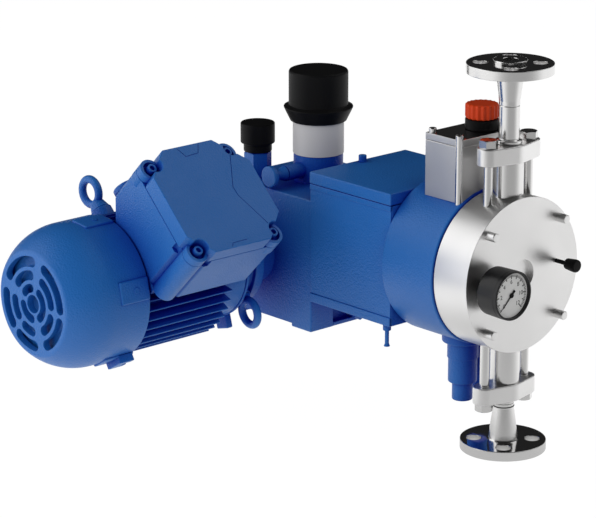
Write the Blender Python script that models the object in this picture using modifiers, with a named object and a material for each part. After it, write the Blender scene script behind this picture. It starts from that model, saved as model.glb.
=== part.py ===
"""Hydraulic diaphragm metering pump, driven by a flanged motor through a worm gear.

Units are metres and +Z is up. The origin lies on the base plane, under the vertical crank axis.
+X points along the plunger to the pump head, and the motor lies along -Y.
"""

import math

import bmesh
import bpy
from mathutils import Matrix, Vector

# Clearances
GAP = 0.0003  # between neighbouring pieces
RUNNING = 0.0004  # radial room of a shaft in its bore
LAP = 0.002  # how far shapes that are joined run into each other
CLEAR = 0.01  # how far a cutter runs past the wall it cuts

# Axes of the drive
PLUNGER_Z = 0.105  # plunger axis above the base plane
WORM_CENTRES = 0.030  # from the crank axis to the motor axis
MOTOR_DROP = 0.032  # motor axis below the plunger axis

# Gear housing
HOUSING_WIDTH = 0.1352
CASE_BACK = 0.075  # crank axis to the rear end
CASE_FRONT = 0.0622  # crank axis to the crosshead box
DECK_Z = 0.146
UNDERSIDE_Z = 0.0026
CASE_WALL = 0.009
CASE_FLOOR = 0.016
CASE_ROUND = 0.002
BOX_LENGTH = 0.1231
BOX_BOTTOM_Z = 0.0355
BOX_RISE = 0.019  # box top above the deck
BOX_RIM_HEIGHT = 0.010
BOX_RIM_STEP = 0.001
COVER_THICKNESS = 0.0128
COVER_ROUND = 0.001
FOOT_LENGTH = 0.029
FOOT_WIDTH = 0.0443
ANCHOR_HOLE_R = 0.00425
ANCHOR_HOLE_DEPTH = 0.011
BEARING_BOSS_WALL = 0.007
BEARING_BOSS_RISE = 0.012

# Drain fittings and plugs
DRAIN_RECESS_WIDTH = 0.046
DRAIN_RECESS_DEPTH = 0.008
DRAIN_RECESS_HEIGHT = 0.0215
DRAIN_HEX = 0.016  # across flats
DRAIN_HEAD = 0.0137
DRAIN_Z = 0.0105
DRAIN_SPIGOT_R = 0.0045
DRAIN_SPIGOT = 0.006
NIPPLE_R = 0.0046
NIPPLE_HEX_LENGTH = 0.0124
NIPPLE_TUBE_R = 0.0023
NIPPLE_TUBE_LENGTH = 0.0128
NIPPLE_BEAD_R = 0.0029
NIPPLE_BEAD = 0.0016
NIPPLE_END_INSET = 0.014  # axis from the box's end face
NIPPLE_SIDE_INSET = 0.0076  # axis from the box's side face
PLUG_R = 0.0043
PLUG_RISE = 0.007
PLUG_SHANK_R = 0.003
PLUG_INSET = 0.0072  # axis from the cover's rear edge
SPIGOT = 0.005  # length of a small plug's shank in its hole

# Crank, worm gear and crosshead
MODULE = 0.002
WHEEL_TEETH = 21
WHEEL_WIDTH = 0.014
TOOTH_TIP = 0.0012
TOOTH_ROOT = 0.0030
THREAD_TIP = 0.0012
THREAD_ROOT = 0.0030
THREAD_TURNS = 3
MESH_CLEARANCE = 0.0005
WORM_JOURNAL_R = 0.006
COUPLING_R = 0.010
COUPLING_LENGTH = 0.026
CRANK_R = 0.009
ECCENTRIC_R = 0.016
ECCENTRICITY = 0.005
ECCENTRIC_WIDTH = 0.012
YOKE_WALL = 0.008
YOKE_HEIGHT = 0.014
CROSSHEAD_R = 0.015
CROSSHEAD_END = 0.048  # how far the crosshead reaches into the box
PLUNGER_R = 0.010
PLUNGER_REACH = 0.055  # how far the plunger reaches into the adapter

# Stroke adjuster
BOSS_R = 0.0268
BOSS_RISE = 0.0294
SLEEVE_R = 0.0276
SLEEVE_WALL = 0.0035
SLEEVE_LENGTH = 0.056
SKIRT_LIFT = 0.036  # skirt edge above the boss
SKIRT_FLARE_R = 0.0373
SKIRT_HEIGHT = 0.0134
SKIRT_EDGE = 0.001
KNOB_R = 0.032
KNOB_LIP = 0.0015
KNOB_HEIGHT = 0.0556
KNOB_TOP = 0.012
KNOB_TRAVEL = 0.015
SPINDLE_R = 0.008
SPINDLE_TIP_R = 0.005
SPINDLE_ENGAGEMENT = 0.015

# Lock screw
LOCK_RISE = 0.0141  # axis above the deck
LOCK_DISC_R = 0.0115
LOCK_DISC_THICKNESS = 0.006
LOCK_DISC_Y = -0.0722
LOCK_NECK_R = 0.0055
LOCK_SHAFT_R = 0.004
LOCK_BOSS_R = 0.0085
LOCK_BOSS_LENGTH = 0.022

# Oil filler on the deck
FILLER_X = -0.0533
FILLER_Y = -0.040
FILLER_HEX = 0.0262
FILLER_POST = 0.0271
FILLER_BORE_R = 0.006
FILLER_NECK_R = 0.0153
FILLER_NECK = 0.0094
FILLER_CAP_R = 0.0186
FILLER_CAP = 0.0225

# Hydraulic adapter with its two oil valves
ADAPTER_R = 0.0827
ADAPTER_LENGTH = 0.0723
ADAPTER_WALL = 0.0185
ADAPTER_HUB_R = 0.024
ADAPTER_HOLLOW = 0.038
OIL_CAVITY_R = 0.046
OIL_CAVITY_DEPTH = 0.006
OIL_VALVES = {"relief_valve": (-0.057, -0.003), "refill_valve": (-0.074, 0.038)}
OIL_VALVE_R = 0.0163
OIL_VALVE_STEPS = ((0.0163, 0.0177), (0.0152, 0.0263), (0.0108, 0.0196))
OIL_VALVE_SEAT = 0.012
OIL_BOSS_R = 0.022
OIL_BOSS_DROP = 0.0053  # below the adapter's lowest line

# Diaphragm and pump head
DIAPHRAGM_R = 0.0812
DIAPHRAGM_THICKNESS = 0.0016
HEAD_R = 0.0809
HEAD_LENGTH = 0.0458
HEAD_POCKET_R = 0.016
HEAD_POCKET_DEPTH = 0.006
CHAMBER_R = 0.046
CHAMBER_DEPTH = 0.005
PORT_R = 0.0065
HEAD_BOLT_R = 0.0046
HEAD_BOLT_ROUND = 0.0006
HEAD_BOLT_CIRCLE_R = 0.0725
HEAD_BOLT_PROUD = 0.012
HEAD_BOLT_GRIP = 0.014

# Check valves and their pipe stubs
VALVE_R = 0.016
VALVE_SEAT_DEPTH = 0.014  # how far a valve sits in the head
VALVE_BORE_R = 0.0055
BALL_R = 0.007
BALL_LIFT = 0.004
BALL_CHAMBER_R = 0.0085
BALL_ROOM = 0.00035  # between ball and seat
YOKE_THICKNESS = 0.018
DISCHARGE_YOKE_REACH = 0.1157  # plunger axis to the yoke's near face
SUCTION_YOKE_REACH = 0.1179
YOKE_SHOULDER = 0.009
YOKE_END_R = 0.0118
YOKE_MIDDLE_R = 0.0185
YOKE_BOLT_SPACING = 0.0576
YOKE_BOLT_R = 0.005
YOKE_BOLT_HEX = 0.017
YOKE_BOLT_HEAD = 0.0078
YOKE_BOLT_GRIP = 0.016
PIPE_R = 0.0107
PIPE_BORE_R = 0.0079
FLARE_R = 0.0136
FLARE_HEIGHT = 0.006
NECK_R = 0.0142
DISCHARGE_NECK = 0.0287
SUCTION_NECK = 0.0352
DISCHARGE_FLANGE_REACH = 0.2064  # plunger axis to the flange's near face
SUCTION_FLANGE_REACH = 0.1808
FLANGE_R = 0.0445
FLANGE_THICKNESS = 0.0101
FLANGE_FACE_R = 0.01745
FLANGE_FACE_RISE = 0.0035
FLANGE_HOLE_R = 0.0079
FLANGE_HOLE_CIRCLE_R = 0.03015

# Hydraulic oil reservoir
TANK_BACK = -0.077  # rear face from the valve axis
TANK_LENGTH = 0.051
TANK_WIDTH = 0.0836
TANK_WALL = 0.012
TANK_TOP = 0.1302  # above the plunger axis
TANK_LID = 0.0072
TIE_ROD_R = 0.004
REAR_ROD_INSET = (0.0055, 0.0050)  # from the tank's end and side faces
FRONT_ROD_INSET = (0.0045, 0.0023)
TIE_ROD_PROUD = 0.0049
TIE_ROD_GRIP = 0.009
CAP_X = -0.050
CAP_Y = 0.012
CAP_NECK_R = 0.0172
CAP_NECK = 0.0104
CAP_BORE_R = 0.009
CAP_R = 0.0173
CAP_HEIGHT = 0.0156
CAP_ROUND = 0.002

# Pressure gauge and vent screw on the head
GAUGE_Y = -0.052
GAUGE_DROP = 0.003
GAUGE_R = 0.0255
GAUGE_WALL = 0.0016
GAUGE_LENGTH = 0.030
GAUGE_STANDOFF = 0.008
GAUGE_STEM_R = 0.006
GAUGE_STEM_GRIP = 0.010
DIAL_DEPTH = 0.004
DIAL_THICKNESS = 0.001
POINTER_LENGTH = 0.017
POINTER_TAIL = 0.006
POINTER_WIDTH = 0.0018
POINTER_THICKNESS = 0.0008
POINTER_PIN_R = 0.0008
POINTER_PIN_RISE = 0.0004
POINTER_REST = math.radians(225)
VENT_Y = 0.0497
VENT_RISE = 0.0055
VENT_STEM_R = 0.0022
VENT_STEM = 0.0145
VENT_GRIP = 0.008
VENT_KNOB_R = 0.0068
VENT_KNOB_TAPER = 0.0012
VENT_KNOB = 0.0147

# Motor
MOTOR_NECK_R = 0.0345
MOTOR_NECK = 0.0294
MOTOR_NECK_BORE_R = 0.020
FLANGE_RIM_R = 0.0525
FLANGE_RIM = 0.012
SHIELD_R = 0.0475
SHIELD_WALL = 0.0045
SHIELD_LENGTH = 0.032
SHIELD_EDGE = 0.003
SPIGOT_LENGTH = 0.006
FRAME_LENGTH = 0.160
FRAME_ROOT_R = 0.060
FRAME_WALL = 0.0047
FRAME_BORE_R = FRAME_ROOT_R - FRAME_WALL
FIN_TIP_R = 0.073
FIN_COUNT = 40
FIN_THICKNESS = 0.0024
REAR_WALL = 0.006
SHAFT_R = 0.007
ROTOR_R = 0.037
AIR_GAP = 0.0006
CORE_LENGTH = 0.096
CORE_INSET = 0.026  # from the frame's drive end
WINDING = 0.014
FAN_R = 0.058
FAN_BLADES = 6
FAN_BLADE = 0.018
FAN_PLATE = 0.0025
FAN_HUB_R = 0.013
FAN_SETBACK = 0.012
SHAFT_TAIL = 0.012
COWL_R = 0.0758
COWL_WALL = 0.0018
COWL_LENGTH = 0.0877
COWL_LAP = 0.0116
COWL_FACE_R = 0.055
COWL_DOME = 0.050
COWL_HOLE_R = 0.009
GRILLE_RINGS = ((0.0402, 0.0520, 5), (0.0270, 0.0362, 5), (0.0125, 0.0203, 3))
GRILLE_SPOKE = 0.0085
GRILLE_TURN = math.radians(4)
COWL_PADS = 5
COWL_PAD_TURN = math.radians(12)
COWL_PAD_WIDTH = 0.024
COWL_PAD_LENGTH = 0.037
COWL_PAD_RISE = 0.0015
COWL_LUG_R = 0.0075
COWL_LUG_RISE = 0.008
COWL_LUG_INSET = 0.011
SHIELD_EARS = 4
SHIELD_EAR_TURN = math.radians(15)
SHIELD_EAR_WIDTH = 0.018
SHIELD_EAR_RISE = 0.002
SHIELD_EAR_LENGTH = 0.008

# Terminal box, on the side of the motor that faces up and forward
TERMINAL_TILT = math.radians(45)
TERMINAL_SETBACK = 0.0812  # from the frame's drive end to the box's middle
TERMINAL_WIDTH = 0.120
TERMINAL_LENGTH = 0.122
TERMINAL_CORNER = 0.024  # how much of each corner is cut off
TERMINAL_SEAM = 0.132  # from the motor axis to the lid's seam
TERMINAL_DEPTH = 0.068
TERMINAL_ROOM = 0.046  # depth of the room inside
TERMINAL_NECK = 0.046  # from the box's middle to the neck's lower side
TERMINAL_WALL = 0.006
COLUMN_SIDE_INSET = 0.00985  # from the box's sides to the columns' middles
COLUMN_END_INSET = 0.01085  # and from its ends
COLUMN_R = 0.0115
COLUMN_LENGTH = 0.066
LID_EDGE = 0.0092
LID_RISE = 0.0095
LID_STEP = 0.0004  # how far the raised field lies inside the edge
LID_BULGE = 0.006  # how far its upper and drive end sides swell out between the screws
LID_POCKET_R = 0.0085
LID_POCKET_DEPTH = 0.006
BLANK_R = 0.014
BLANK_RISE = 0.006
BLANK_PAD_RISE = 0.0022
BLANK_THREAD_R = 0.009
BLANK_INSET = 0.0224  # from the box's fan end
BLANK_OUT = 0.0795  # from the motor axis

# Lifting eyes
EYE_RING_R = 0.0135
EYE_WIRE_R = 0.0042
UPPER_COLLAR_R = 0.0085
LOWER_COLLAR_R = 0.0052
EYE_SHANK_R = 0.004
EYE_SHANK = 0.007
UPPER_EYE_TURN = math.radians(135)
UPPER_EYE_SETBACK = 0.0982  # from the frame's drive end
UPPER_EYE_OUT = 0.110
LOWER_EYE_TURN = math.radians(-45)
LOWER_EYE_SETBACK = 0.0192  # from the shield's face
LOWER_EYE_OUT = 0.0703
LOWER_EYE_SEAT = 0.0515
LOWER_EYE_TWIST = math.radians(6)
EYE_PAD_R = 0.011
EYE_PAD_RISE = 0.013

# Places that follow from the sizes above
MOTOR_X = -WORM_CENTRES
MOTOR_Z = PLUNGER_Z - MOTOR_DROP
HALF_WIDTH = HOUSING_WIDTH / 2
FLOOR_Z = UNDERSIDE_Z + CASE_FLOOR
CEILING_Z = DECK_Z - CASE_WALL
BOX_END = CASE_FRONT + BOX_LENGTH
BOX_TOP_Z = DECK_Z + BOX_RISE
COVER_TOP_Z = BOX_TOP_Z + GAP + COVER_THICKNESS
ADAPTER_X = BOX_END + GAP
ADAPTER_END = ADAPTER_X + ADAPTER_LENGTH
DIAPHRAGM_X = ADAPTER_END + GAP
HEAD_X = DIAPHRAGM_X + DIAPHRAGM_THICKNESS + GAP
HEAD_FACE = HEAD_X + HEAD_LENGTH
VALVE_X = HEAD_X + HEAD_LENGTH / 2
BOSS_TOP_Z = DECK_Z + BOSS_RISE
CRANK_BOTTOM_Z = FLOOR_Z - BEARING_BOSS_RISE / 3
CRANK_TOP_Z = CEILING_Z - LAP
CEILING_BOSS_Z = CEILING_Z - BEARING_BOSS_RISE
SKIRT_Z = BOSS_TOP_Z + SKIRT_LIFT
KNOB_TOP_Z = SKIRT_Z + KNOB_HEIGHT
KNOB_CEILING_Z = KNOB_TOP_Z - KNOB_TOP
LOCK_Z = DECK_Z + LOCK_RISE
FILLER_TOP_Z = DECK_Z + GAP + FILLER_POST
GAUGE_Z = PLUNGER_Z - GAUGE_DROP
VENT_Z = PLUNGER_Z + VENT_RISE
FLANGE_Y = -HALF_WIDTH - MOTOR_NECK
SHIELD_Y = FLANGE_Y - GAP
FRAME_Y = SHIELD_Y - SHIELD_LENGTH - GAP
FRAME_END_Y = FRAME_Y - FRAME_LENGTH
TERMINAL_Y = FRAME_Y - TERMINAL_SETBACK
UPPER_EYE_Y = FRAME_Y - UPPER_EYE_SETBACK
LOWER_EYE_Y = SHIELD_Y - LOWER_EYE_SETBACK
COWL_RIM_Y = FRAME_END_Y + COWL_LAP
COWL_END_Y = COWL_RIM_Y - COWL_LENGTH
CORE_Y = FRAME_Y - CORE_INSET
WHEEL_PITCH_R = MODULE * WHEEL_TEETH / 2
WORM_PITCH_R = WORM_CENTRES - WHEEL_PITCH_R
WHEEL_TIP_R = WHEEL_PITCH_R + MODULE
WHEEL_ROOT_R = WHEEL_PITCH_R - MODULE - MESH_CLEARANCE
WORM_TIP_R = WORM_PITCH_R + MODULE
WORM_ROOT_R = WORM_PITCH_R - MODULE - MESH_CLEARANCE
WORM_LEAD = math.pi * MODULE
TANK_X = VALVE_X + TANK_BACK
TANK_END = TANK_X + TANK_LENGTH
TANK_TOP_Z = PLUNGER_Z + TANK_TOP
LID_TOP_Z = TANK_TOP_Z + GAP + TANK_LID

LARGE_ROUND = 36  # facets of the pump head and its neighbours
ROUND = 24  # facets of a middling round piece
COLUMN_ROUND = 16  # facets of the terminal box's round pieces
SMALL_ROUND = 12  # facets of a small round piece
DOME_STEPS = 5
BALL_RINGS = 8
EYE_FACETS = 18
WIRE_FACETS = 8
WELD = 0.00001  # points this near each other are one
SHARP_ANGLE = math.radians(35)

for old in list(bpy.data.objects):
    bpy.data.objects.remove(old, do_unlink=True)

PARTS = bpy.data.collections.new("diaphragm_metering_pump")
CUTTERS = bpy.data.collections.new("cutters_and_joined_shapes")
for collection in (PARTS, CUTTERS):
    bpy.context.scene.collection.children.link(collection)

# The turn that brings a shape's own Z axis onto a world axis
TURN = {
    "Z": Matrix(),
    "X": Matrix.Rotation(math.pi / 2, 4, "Y"),
    "Y": Matrix.Rotation(-math.pi / 2, 4, "X"),
    "-Z": Matrix.Rotation(math.pi, 4, "X"),
}


def finish(name, colour, roughness, metallic=0.0):
    material = bpy.data.materials.new(name)
    material.use_nodes = True
    shader = material.node_tree.nodes["Principled BSDF"]
    shader.inputs["Base Color"].default_value = (*colour, 1.0)
    shader.inputs["Roughness"].default_value = roughness
    shader.inputs["Metallic"].default_value = metallic
    return material


BLUE = finish("blue_paint", (0.02, 0.10, 0.42), 0.45)
STEEL = finish("stainless_steel", (0.62, 0.61, 0.60), 0.22, 1.0)
DARK_STEEL = finish("hardened_steel", (0.30, 0.30, 0.31), 0.35, 1.0)
BRONZE = finish("gear_bronze", (0.50, 0.32, 0.13), 0.35, 1.0)
LAMINATE = finish("core_laminations", (0.33, 0.33, 0.34), 0.5, 1.0)
BLACK = finish("black_plastic", (0.012, 0.012, 0.013), 0.45)
GREY = finish("grey_plastic", (0.50, 0.48, 0.46), 0.5)
ORANGE = finish("orange_plastic", (0.60, 0.06, 0.015), 0.4)
RUBBER = finish("diaphragm_sheet", (0.015, 0.015, 0.017), 0.6)
DIAL = finish("dial_white", (0.72, 0.72, 0.70), 0.5)


def place(obj, material, at, turn):
    """Puts an object in the scene: a piece has a finish, and a shape without one only cuts or joins."""
    obj.matrix_world = Matrix.Translation(at) @ turn
    if material is None:
        CUTTERS.objects.link(obj)
        obj.hide_render = True
        obj.display_type = "WIRE"
    else:
        PARTS.objects.link(obj)
        obj.data.materials.append(material)
    return obj


def from_bmesh(name, shape, material, at, turn):
    mesh = bpy.data.meshes.new(name)
    shape.to_mesh(mesh)
    shape.free()
    mesh.shade_smooth()
    mesh.set_sharp_from_angle(angle=SHARP_ANGLE)
    return place(bpy.data.objects.new(name, mesh), material, at, turn)


def block(name, low, high, material=None, turn=TURN["Z"], at=(0, 0, 0)):
    """A box between two corners, given in its own frame."""
    shape = bmesh.new()
    bmesh.ops.create_cube(shape, size=1)
    low, high = Vector(low), Vector(high)
    bmesh.ops.scale(shape, vec=high - low, verts=shape.verts)
    bmesh.ops.translate(shape, vec=(low + high) / 2, verts=shape.verts)
    return from_bmesh(name, shape, material, at, turn)


def rod(name, radius, low, high, at, axis="Z", material=None, sides=SMALL_ROUND, top_radius=None):
    """A cylinder or cone from low to high along its axis; six sides make a hexagon."""
    shape = bmesh.new()
    ends = {"radius1": radius, "radius2": radius if top_radius is None else top_radius}
    bmesh.ops.create_cone(shape, cap_ends=True, segments=sides, depth=high - low, **ends)
    bmesh.ops.translate(shape, vec=(0, 0, (low + high) / 2), verts=shape.verts)
    turn = TURN[axis] if isinstance(axis, str) else axis
    return from_bmesh(name, shape, material, at, turn)


def hexagon_radius(across_flats):
    return across_flats / math.sqrt(3)


def turned(name, profile, at, axis="Z", material=None, steps=ROUND):
    """A profile of (radius, height) points, from the top down its outer side, spun about its axis."""
    shape = bmesh.new()
    points = [shape.verts.new((radius, 0, height)) for radius, height in profile]
    for first, second in zip(points, points[1:]):
        shape.edges.new((first, second))
    if profile[0][0] > 0:
        shape.edges.new((points[-1], points[0]))
    mesh = bpy.data.meshes.new(name)
    shape.to_mesh(mesh)
    shape.free()
    obj = place(bpy.data.objects.new(name, mesh), material, at, TURN[axis])
    spin = obj.modifiers.new("spin", "SCREW")
    spin.steps = steps
    spin.render_steps = steps
    spin.use_merge_vertices = True
    spin.merge_threshold = WELD
    return obj


def prism(name, outlines, low, high, at, axis="Z", material=None):
    """Closed 2D outlines filled and extruded from low to high; an outline inside another is a hole."""
    curve = bpy.data.curves.new(name, "CURVE")
    curve.dimensions = "2D"
    curve.fill_mode = "BOTH"
    curve.extrude = (high - low) / 2
    for outline in outlines:
        spline = curve.splines.new("POLY")
        spline.use_cyclic_u = True
        spline.points.add(len(outline) - 1)
        for point, (x, y) in zip(spline.points, outline):
            point.co = (x, y, 0, 1)
    guide = bpy.data.objects.new(name + "_outline", curve)
    CUTTERS.objects.link(guide)
    graph = bpy.context.evaluated_depsgraph_get()
    filled = bpy.data.meshes.new_from_object(guide.evaluated_get(graph))
    bpy.data.objects.remove(guide, do_unlink=True)
    shape = bmesh.new()
    shape.from_mesh(filled)
    bpy.data.meshes.remove(filled)
    bmesh.ops.remove_doubles(shape, verts=shape.verts, dist=WELD)
    bmesh.ops.recalc_face_normals(shape, faces=shape.faces)
    bmesh.ops.translate(shape, vec=(0, 0, (low + high) / 2), verts=shape.verts)
    turn = TURN[axis] if isinstance(axis, str) else axis
    return from_bmesh(name, shape, material, at, turn)


def combine(obj, operation, others):
    for other in others:
        step = obj.modifiers.new(other.name, "BOOLEAN")
        step.operation = operation
        step.object = other


def unite(obj, *others):
    combine(obj, "UNION", others)


def cut(obj, *others):
    combine(obj, "DIFFERENCE", others)


def bevel(obj, width, segments=1):
    step = obj.modifiers.new("edge", "BEVEL")
    step.width = width
    step.segments = segments
    step.limit_method = "ANGLE"


def circle(radius, count, centre=(0, 0), start=0.0, sweep=2 * math.pi):
    """Points on an arc; a full turn leaves out the repeated last point."""
    spans = count if sweep >= 2 * math.pi else count - 1
    angles = [start + sweep * i / spans for i in range(count)]
    return [(centre[0] + radius * math.cos(a), centre[1] + radius * math.sin(a)) for a in angles]


def gear_housing():
    side_view = [
        (-CASE_BACK, 0), (CASE_FRONT, 0),
        (CASE_FRONT, -BOX_BOTTOM_Z), (BOX_END, -BOX_BOTTOM_Z),
        (BOX_END, -BOX_TOP_Z), (CASE_FRONT, -BOX_TOP_Z),
        (CASE_FRONT, -DECK_Z), (-CASE_BACK, -DECK_Z),
    ]
    case = prism("gear_housing", [side_view], -HALF_WIDTH, HALF_WIDTH, (0, 0, 0), "Y", BLUE)
    bevel(case, CASE_ROUND, 2)
    inner = HALF_WIDTH - CASE_WALL
    rim = block(
        "box_rim",
        (CASE_FRONT + CASE_ROUND, -HALF_WIDTH - BOX_RIM_STEP, BOX_BOTTOM_Z + GAP),
        (BOX_END - CASE_ROUND, HALF_WIDTH + BOX_RIM_STEP, BOX_BOTTOM_Z + BOX_RIM_HEIGHT),
    )
    adjuster_boss = rod("adjuster_boss", BOSS_R, DECK_Z - LAP, BOSS_TOP_Z, (0, 0, 0), sides=ROUND)
    lock_boss = rod(
        "lock_boss", LOCK_BOSS_R, -BOSS_R - LOCK_BOSS_LENGTH, -BOSS_R + LOCK_BOSS_R,
        (0, 0, LOCK_Z), "Y",
    )
    motor_neck = rod(
        "motor_neck", MOTOR_NECK_R, FLANGE_Y, -HALF_WIDTH + LAP, (MOTOR_X, 0, MOTOR_Z), "Y", sides=ROUND
    )
    unite(case, rim, adjuster_boss, lock_boss, motor_neck)
    gear_room = block(
        "gear_room",
        (-CASE_BACK + CASE_WALL, -inner, FLOOR_Z),
        (CASE_FRONT - CASE_WALL, inner, CEILING_Z),
    )
    crosshead_room = block(
        "crosshead_room",
        (CASE_FRONT + CASE_WALL, -inner, BOX_BOTTOM_Z + CASE_WALL),
        (BOX_END - CASE_WALL, inner, BOX_TOP_Z + CLEAR),
    )
    cut(case, gear_room, crosshead_room)
    boss_r = CRANK_R + RUNNING + BEARING_BOSS_WALL
    floor_boss = rod("floor_boss", boss_r, FLOOR_Z - LAP, FLOOR_Z + BEARING_BOSS_RISE, (0, 0, 0))
    ceiling_boss = rod("ceiling_boss", boss_r, CEILING_BOSS_Z, CEILING_Z + LAP, (0, 0, 0))
    worm_boss_r = WORM_JOURNAL_R + RUNNING + BEARING_BOSS_WALL
    worm_boss = rod(
        "worm_boss", worm_boss_r, inner - BEARING_BOSS_RISE, inner + LAP, (MOTOR_X, 0, MOTOR_Z), "Y"
    )
    unite(case, floor_boss, ceiling_boss, worm_boss)
    crank_low = rod(
        "crank_low_bore", CRANK_R + RUNNING, CRANK_BOTTOM_Z - GAP, FLOOR_Z + BEARING_BOSS_RISE + CLEAR,
        (0, 0, 0),
    )
    crank_high = rod(
        "crank_high_bore", CRANK_R + RUNNING, CEILING_BOSS_Z - CLEAR, CRANK_TOP_Z + GAP, (0, 0, 0)
    )
    spindle_bore = rod("spindle_bore", SPINDLE_R + RUNNING, CRANK_TOP_Z, BOSS_TOP_Z + CLEAR, (0, 0, 0))
    lock_bore = rod(
        "lock_bore", LOCK_SHAFT_R + RUNNING, -BOSS_R - LOCK_BOSS_LENGTH - CLEAR, 0, (0, 0, LOCK_Z), "Y",
    )
    motor_bore = rod(
        "motor_bore", MOTOR_NECK_BORE_R, FLANGE_Y - CLEAR, -inner + CLEAR, (MOTOR_X, 0, MOTOR_Z), "Y",
        sides=ROUND,
    )
    worm_bore = rod(
        "worm_bore", WORM_JOURNAL_R + RUNNING, inner - BEARING_BOSS_RISE - CLEAR,
        inner + CASE_WALL / 2, (MOTOR_X, 0, MOTOR_Z), "Y",
    )
    guide_bore = rod(
        "guide_bore", CROSSHEAD_R + RUNNING, CASE_FRONT - CASE_WALL - CLEAR,
        CASE_FRONT + CASE_WALL + CLEAR, (0, 0, PLUNGER_Z), "X", sides=ROUND,
    )
    plunger_bore = rod(
        "plunger_bore", PLUNGER_R + RUNNING, BOX_END - CASE_WALL - CLEAR, BOX_END + CLEAR,
        (0, 0, PLUNGER_Z), "X", sides=ROUND,
    )
    cut(case, crank_low, crank_high, spindle_bore, lock_bore)
    cut(case, motor_bore, worm_bore, guide_bore, plunger_bore)
    filler_hole = rod(
        "filler_hole", FILLER_BORE_R + LAP + GAP, CEILING_Z - CLEAR, DECK_Z + CLEAR,
        (FILLER_X, FILLER_Y, 0),
    )
    recess = block(
        "drain_recess",
        (CASE_FRONT - DRAIN_RECESS_DEPTH, -DRAIN_RECESS_WIDTH / 2, UNDERSIDE_Z - CLEAR),
        (CASE_FRONT + CLEAR, DRAIN_RECESS_WIDTH / 2, DRAIN_RECESS_HEIGHT),
    )
    drain_hole = rod(
        "drain_hole", DRAIN_SPIGOT_R + GAP, CASE_FRONT - DRAIN_RECESS_DEPTH - DRAIN_SPIGOT - GAP,
        CASE_FRONT, (0, 0, DRAIN_Z), "X",
    )
    nipple_x, nipple_y = nipple_place()
    nipple_hole = rod(
        "nipple_hole", NIPPLE_TUBE_R + GAP, BOX_BOTTOM_Z - CLEAR, BOX_BOTTOM_Z + SPIGOT + GAP,
        (nipple_x, nipple_y, 0),
    )
    cut(case, filler_hole, recess, drain_hole, nipple_hole)
    for x in (-CASE_BACK + FOOT_LENGTH / 2, CASE_FRONT - FOOT_LENGTH / 2):
        for side in (-1, 1):
            y = side * (HALF_WIDTH - FOOT_WIDTH / 2)
            cut(case, rod("anchor_hole", ANCHOR_HOLE_R, -CLEAR, ANCHOR_HOLE_DEPTH, (x, y, 0)))
    reach = CASE_BACK + BOX_END
    across = block(
        "space_between_feet",
        (-CASE_BACK + FOOT_LENGTH, -HALF_WIDTH - CLEAR, -CLEAR),
        (CASE_FRONT - FOOT_LENGTH, HALF_WIDTH + CLEAR, UNDERSIDE_Z),
    )
    foot_in = HALF_WIDTH - FOOT_WIDTH
    along = block("space_along_feet", (-reach, -foot_in, -CLEAR), (reach, foot_in, UNDERSIDE_Z))
    cut(case, across, along)


def nipple_place():
    return BOX_END - NIPPLE_END_INSET, -HALF_WIDTH + NIPPLE_SIDE_INSET


def cover_and_plugs():
    low_z = BOX_TOP_Z + GAP
    cover = block(
        "housing_cover", (CASE_FRONT, -HALF_WIDTH, low_z), (BOX_END, HALF_WIDTH, COVER_TOP_Z), BLUE
    )
    bevel(cover, COVER_ROUND)
    plug_at = (CASE_FRONT + PLUG_INSET, 0, 0)
    shank_end = COVER_TOP_Z - SPIGOT
    cut(cover, rod("plug_hole", PLUG_SHANK_R + GAP, shank_end - GAP, COVER_TOP_Z + CLEAR, plug_at))
    base = COVER_TOP_Z + GAP
    turned(
        "cover_plug",
        [
            (0, base + PLUG_RISE), (PLUG_R, base + PLUG_RISE), (PLUG_R, base),
            (PLUG_SHANK_R, base), (PLUG_SHANK_R, shank_end), (0, shank_end),
        ],
        plug_at, material=BLUE, steps=SMALL_ROUND,
    )
    seat = CASE_FRONT - DRAIN_RECESS_DEPTH
    drain_at = (0, 0, DRAIN_Z)
    drain = rod(
        "drain_plug", hexagon_radius(DRAIN_HEX), seat + GAP, seat + GAP + DRAIN_HEAD, drain_at, "X", BLUE,
        sides=6,
    )
    spigot_end = seat - DRAIN_SPIGOT
    unite(drain, rod("drain_shank", DRAIN_SPIGOT_R, spigot_end, seat + DRAIN_HEAD / 2, drain_at, "X"))
    nipple_x, nipple_y = nipple_place()
    top = BOX_BOTTOM_Z - GAP
    hex_end = top - NIPPLE_HEX_LENGTH
    tube_end = hex_end - NIPPLE_TUBE_LENGTH
    turned(
        "drain_nipple",
        [
            (0, BOX_BOTTOM_Z + SPIGOT), (NIPPLE_TUBE_R, BOX_BOTTOM_Z + SPIGOT), (NIPPLE_TUBE_R, top),
            (NIPPLE_R, top), (NIPPLE_R, hex_end), (NIPPLE_TUBE_R, hex_end),
            (NIPPLE_TUBE_R, tube_end + NIPPLE_BEAD), (NIPPLE_BEAD_R, tube_end), (0, tube_end),
        ],
        (nipple_x, nipple_y, 0), material=BLUE, steps=SMALL_ROUND,
    )


def gear_outline():
    """Straight-sided teeth round the wheel, with one tooth space facing the worm at -X."""
    points = []
    for tooth in range(WHEEL_TEETH):
        middle = math.pi + 2 * math.pi * (tooth + 0.5) / WHEEL_TEETH
        for radius, width in (
            (WHEEL_ROOT_R, -TOOTH_ROOT), (WHEEL_TIP_R, -TOOTH_TIP),
            (WHEEL_TIP_R, TOOTH_TIP), (WHEEL_ROOT_R, TOOTH_ROOT),
        ):
            angle = middle + width / 2 / radius
            points.append((radius * math.cos(angle), radius * math.sin(angle)))
    return points


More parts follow.
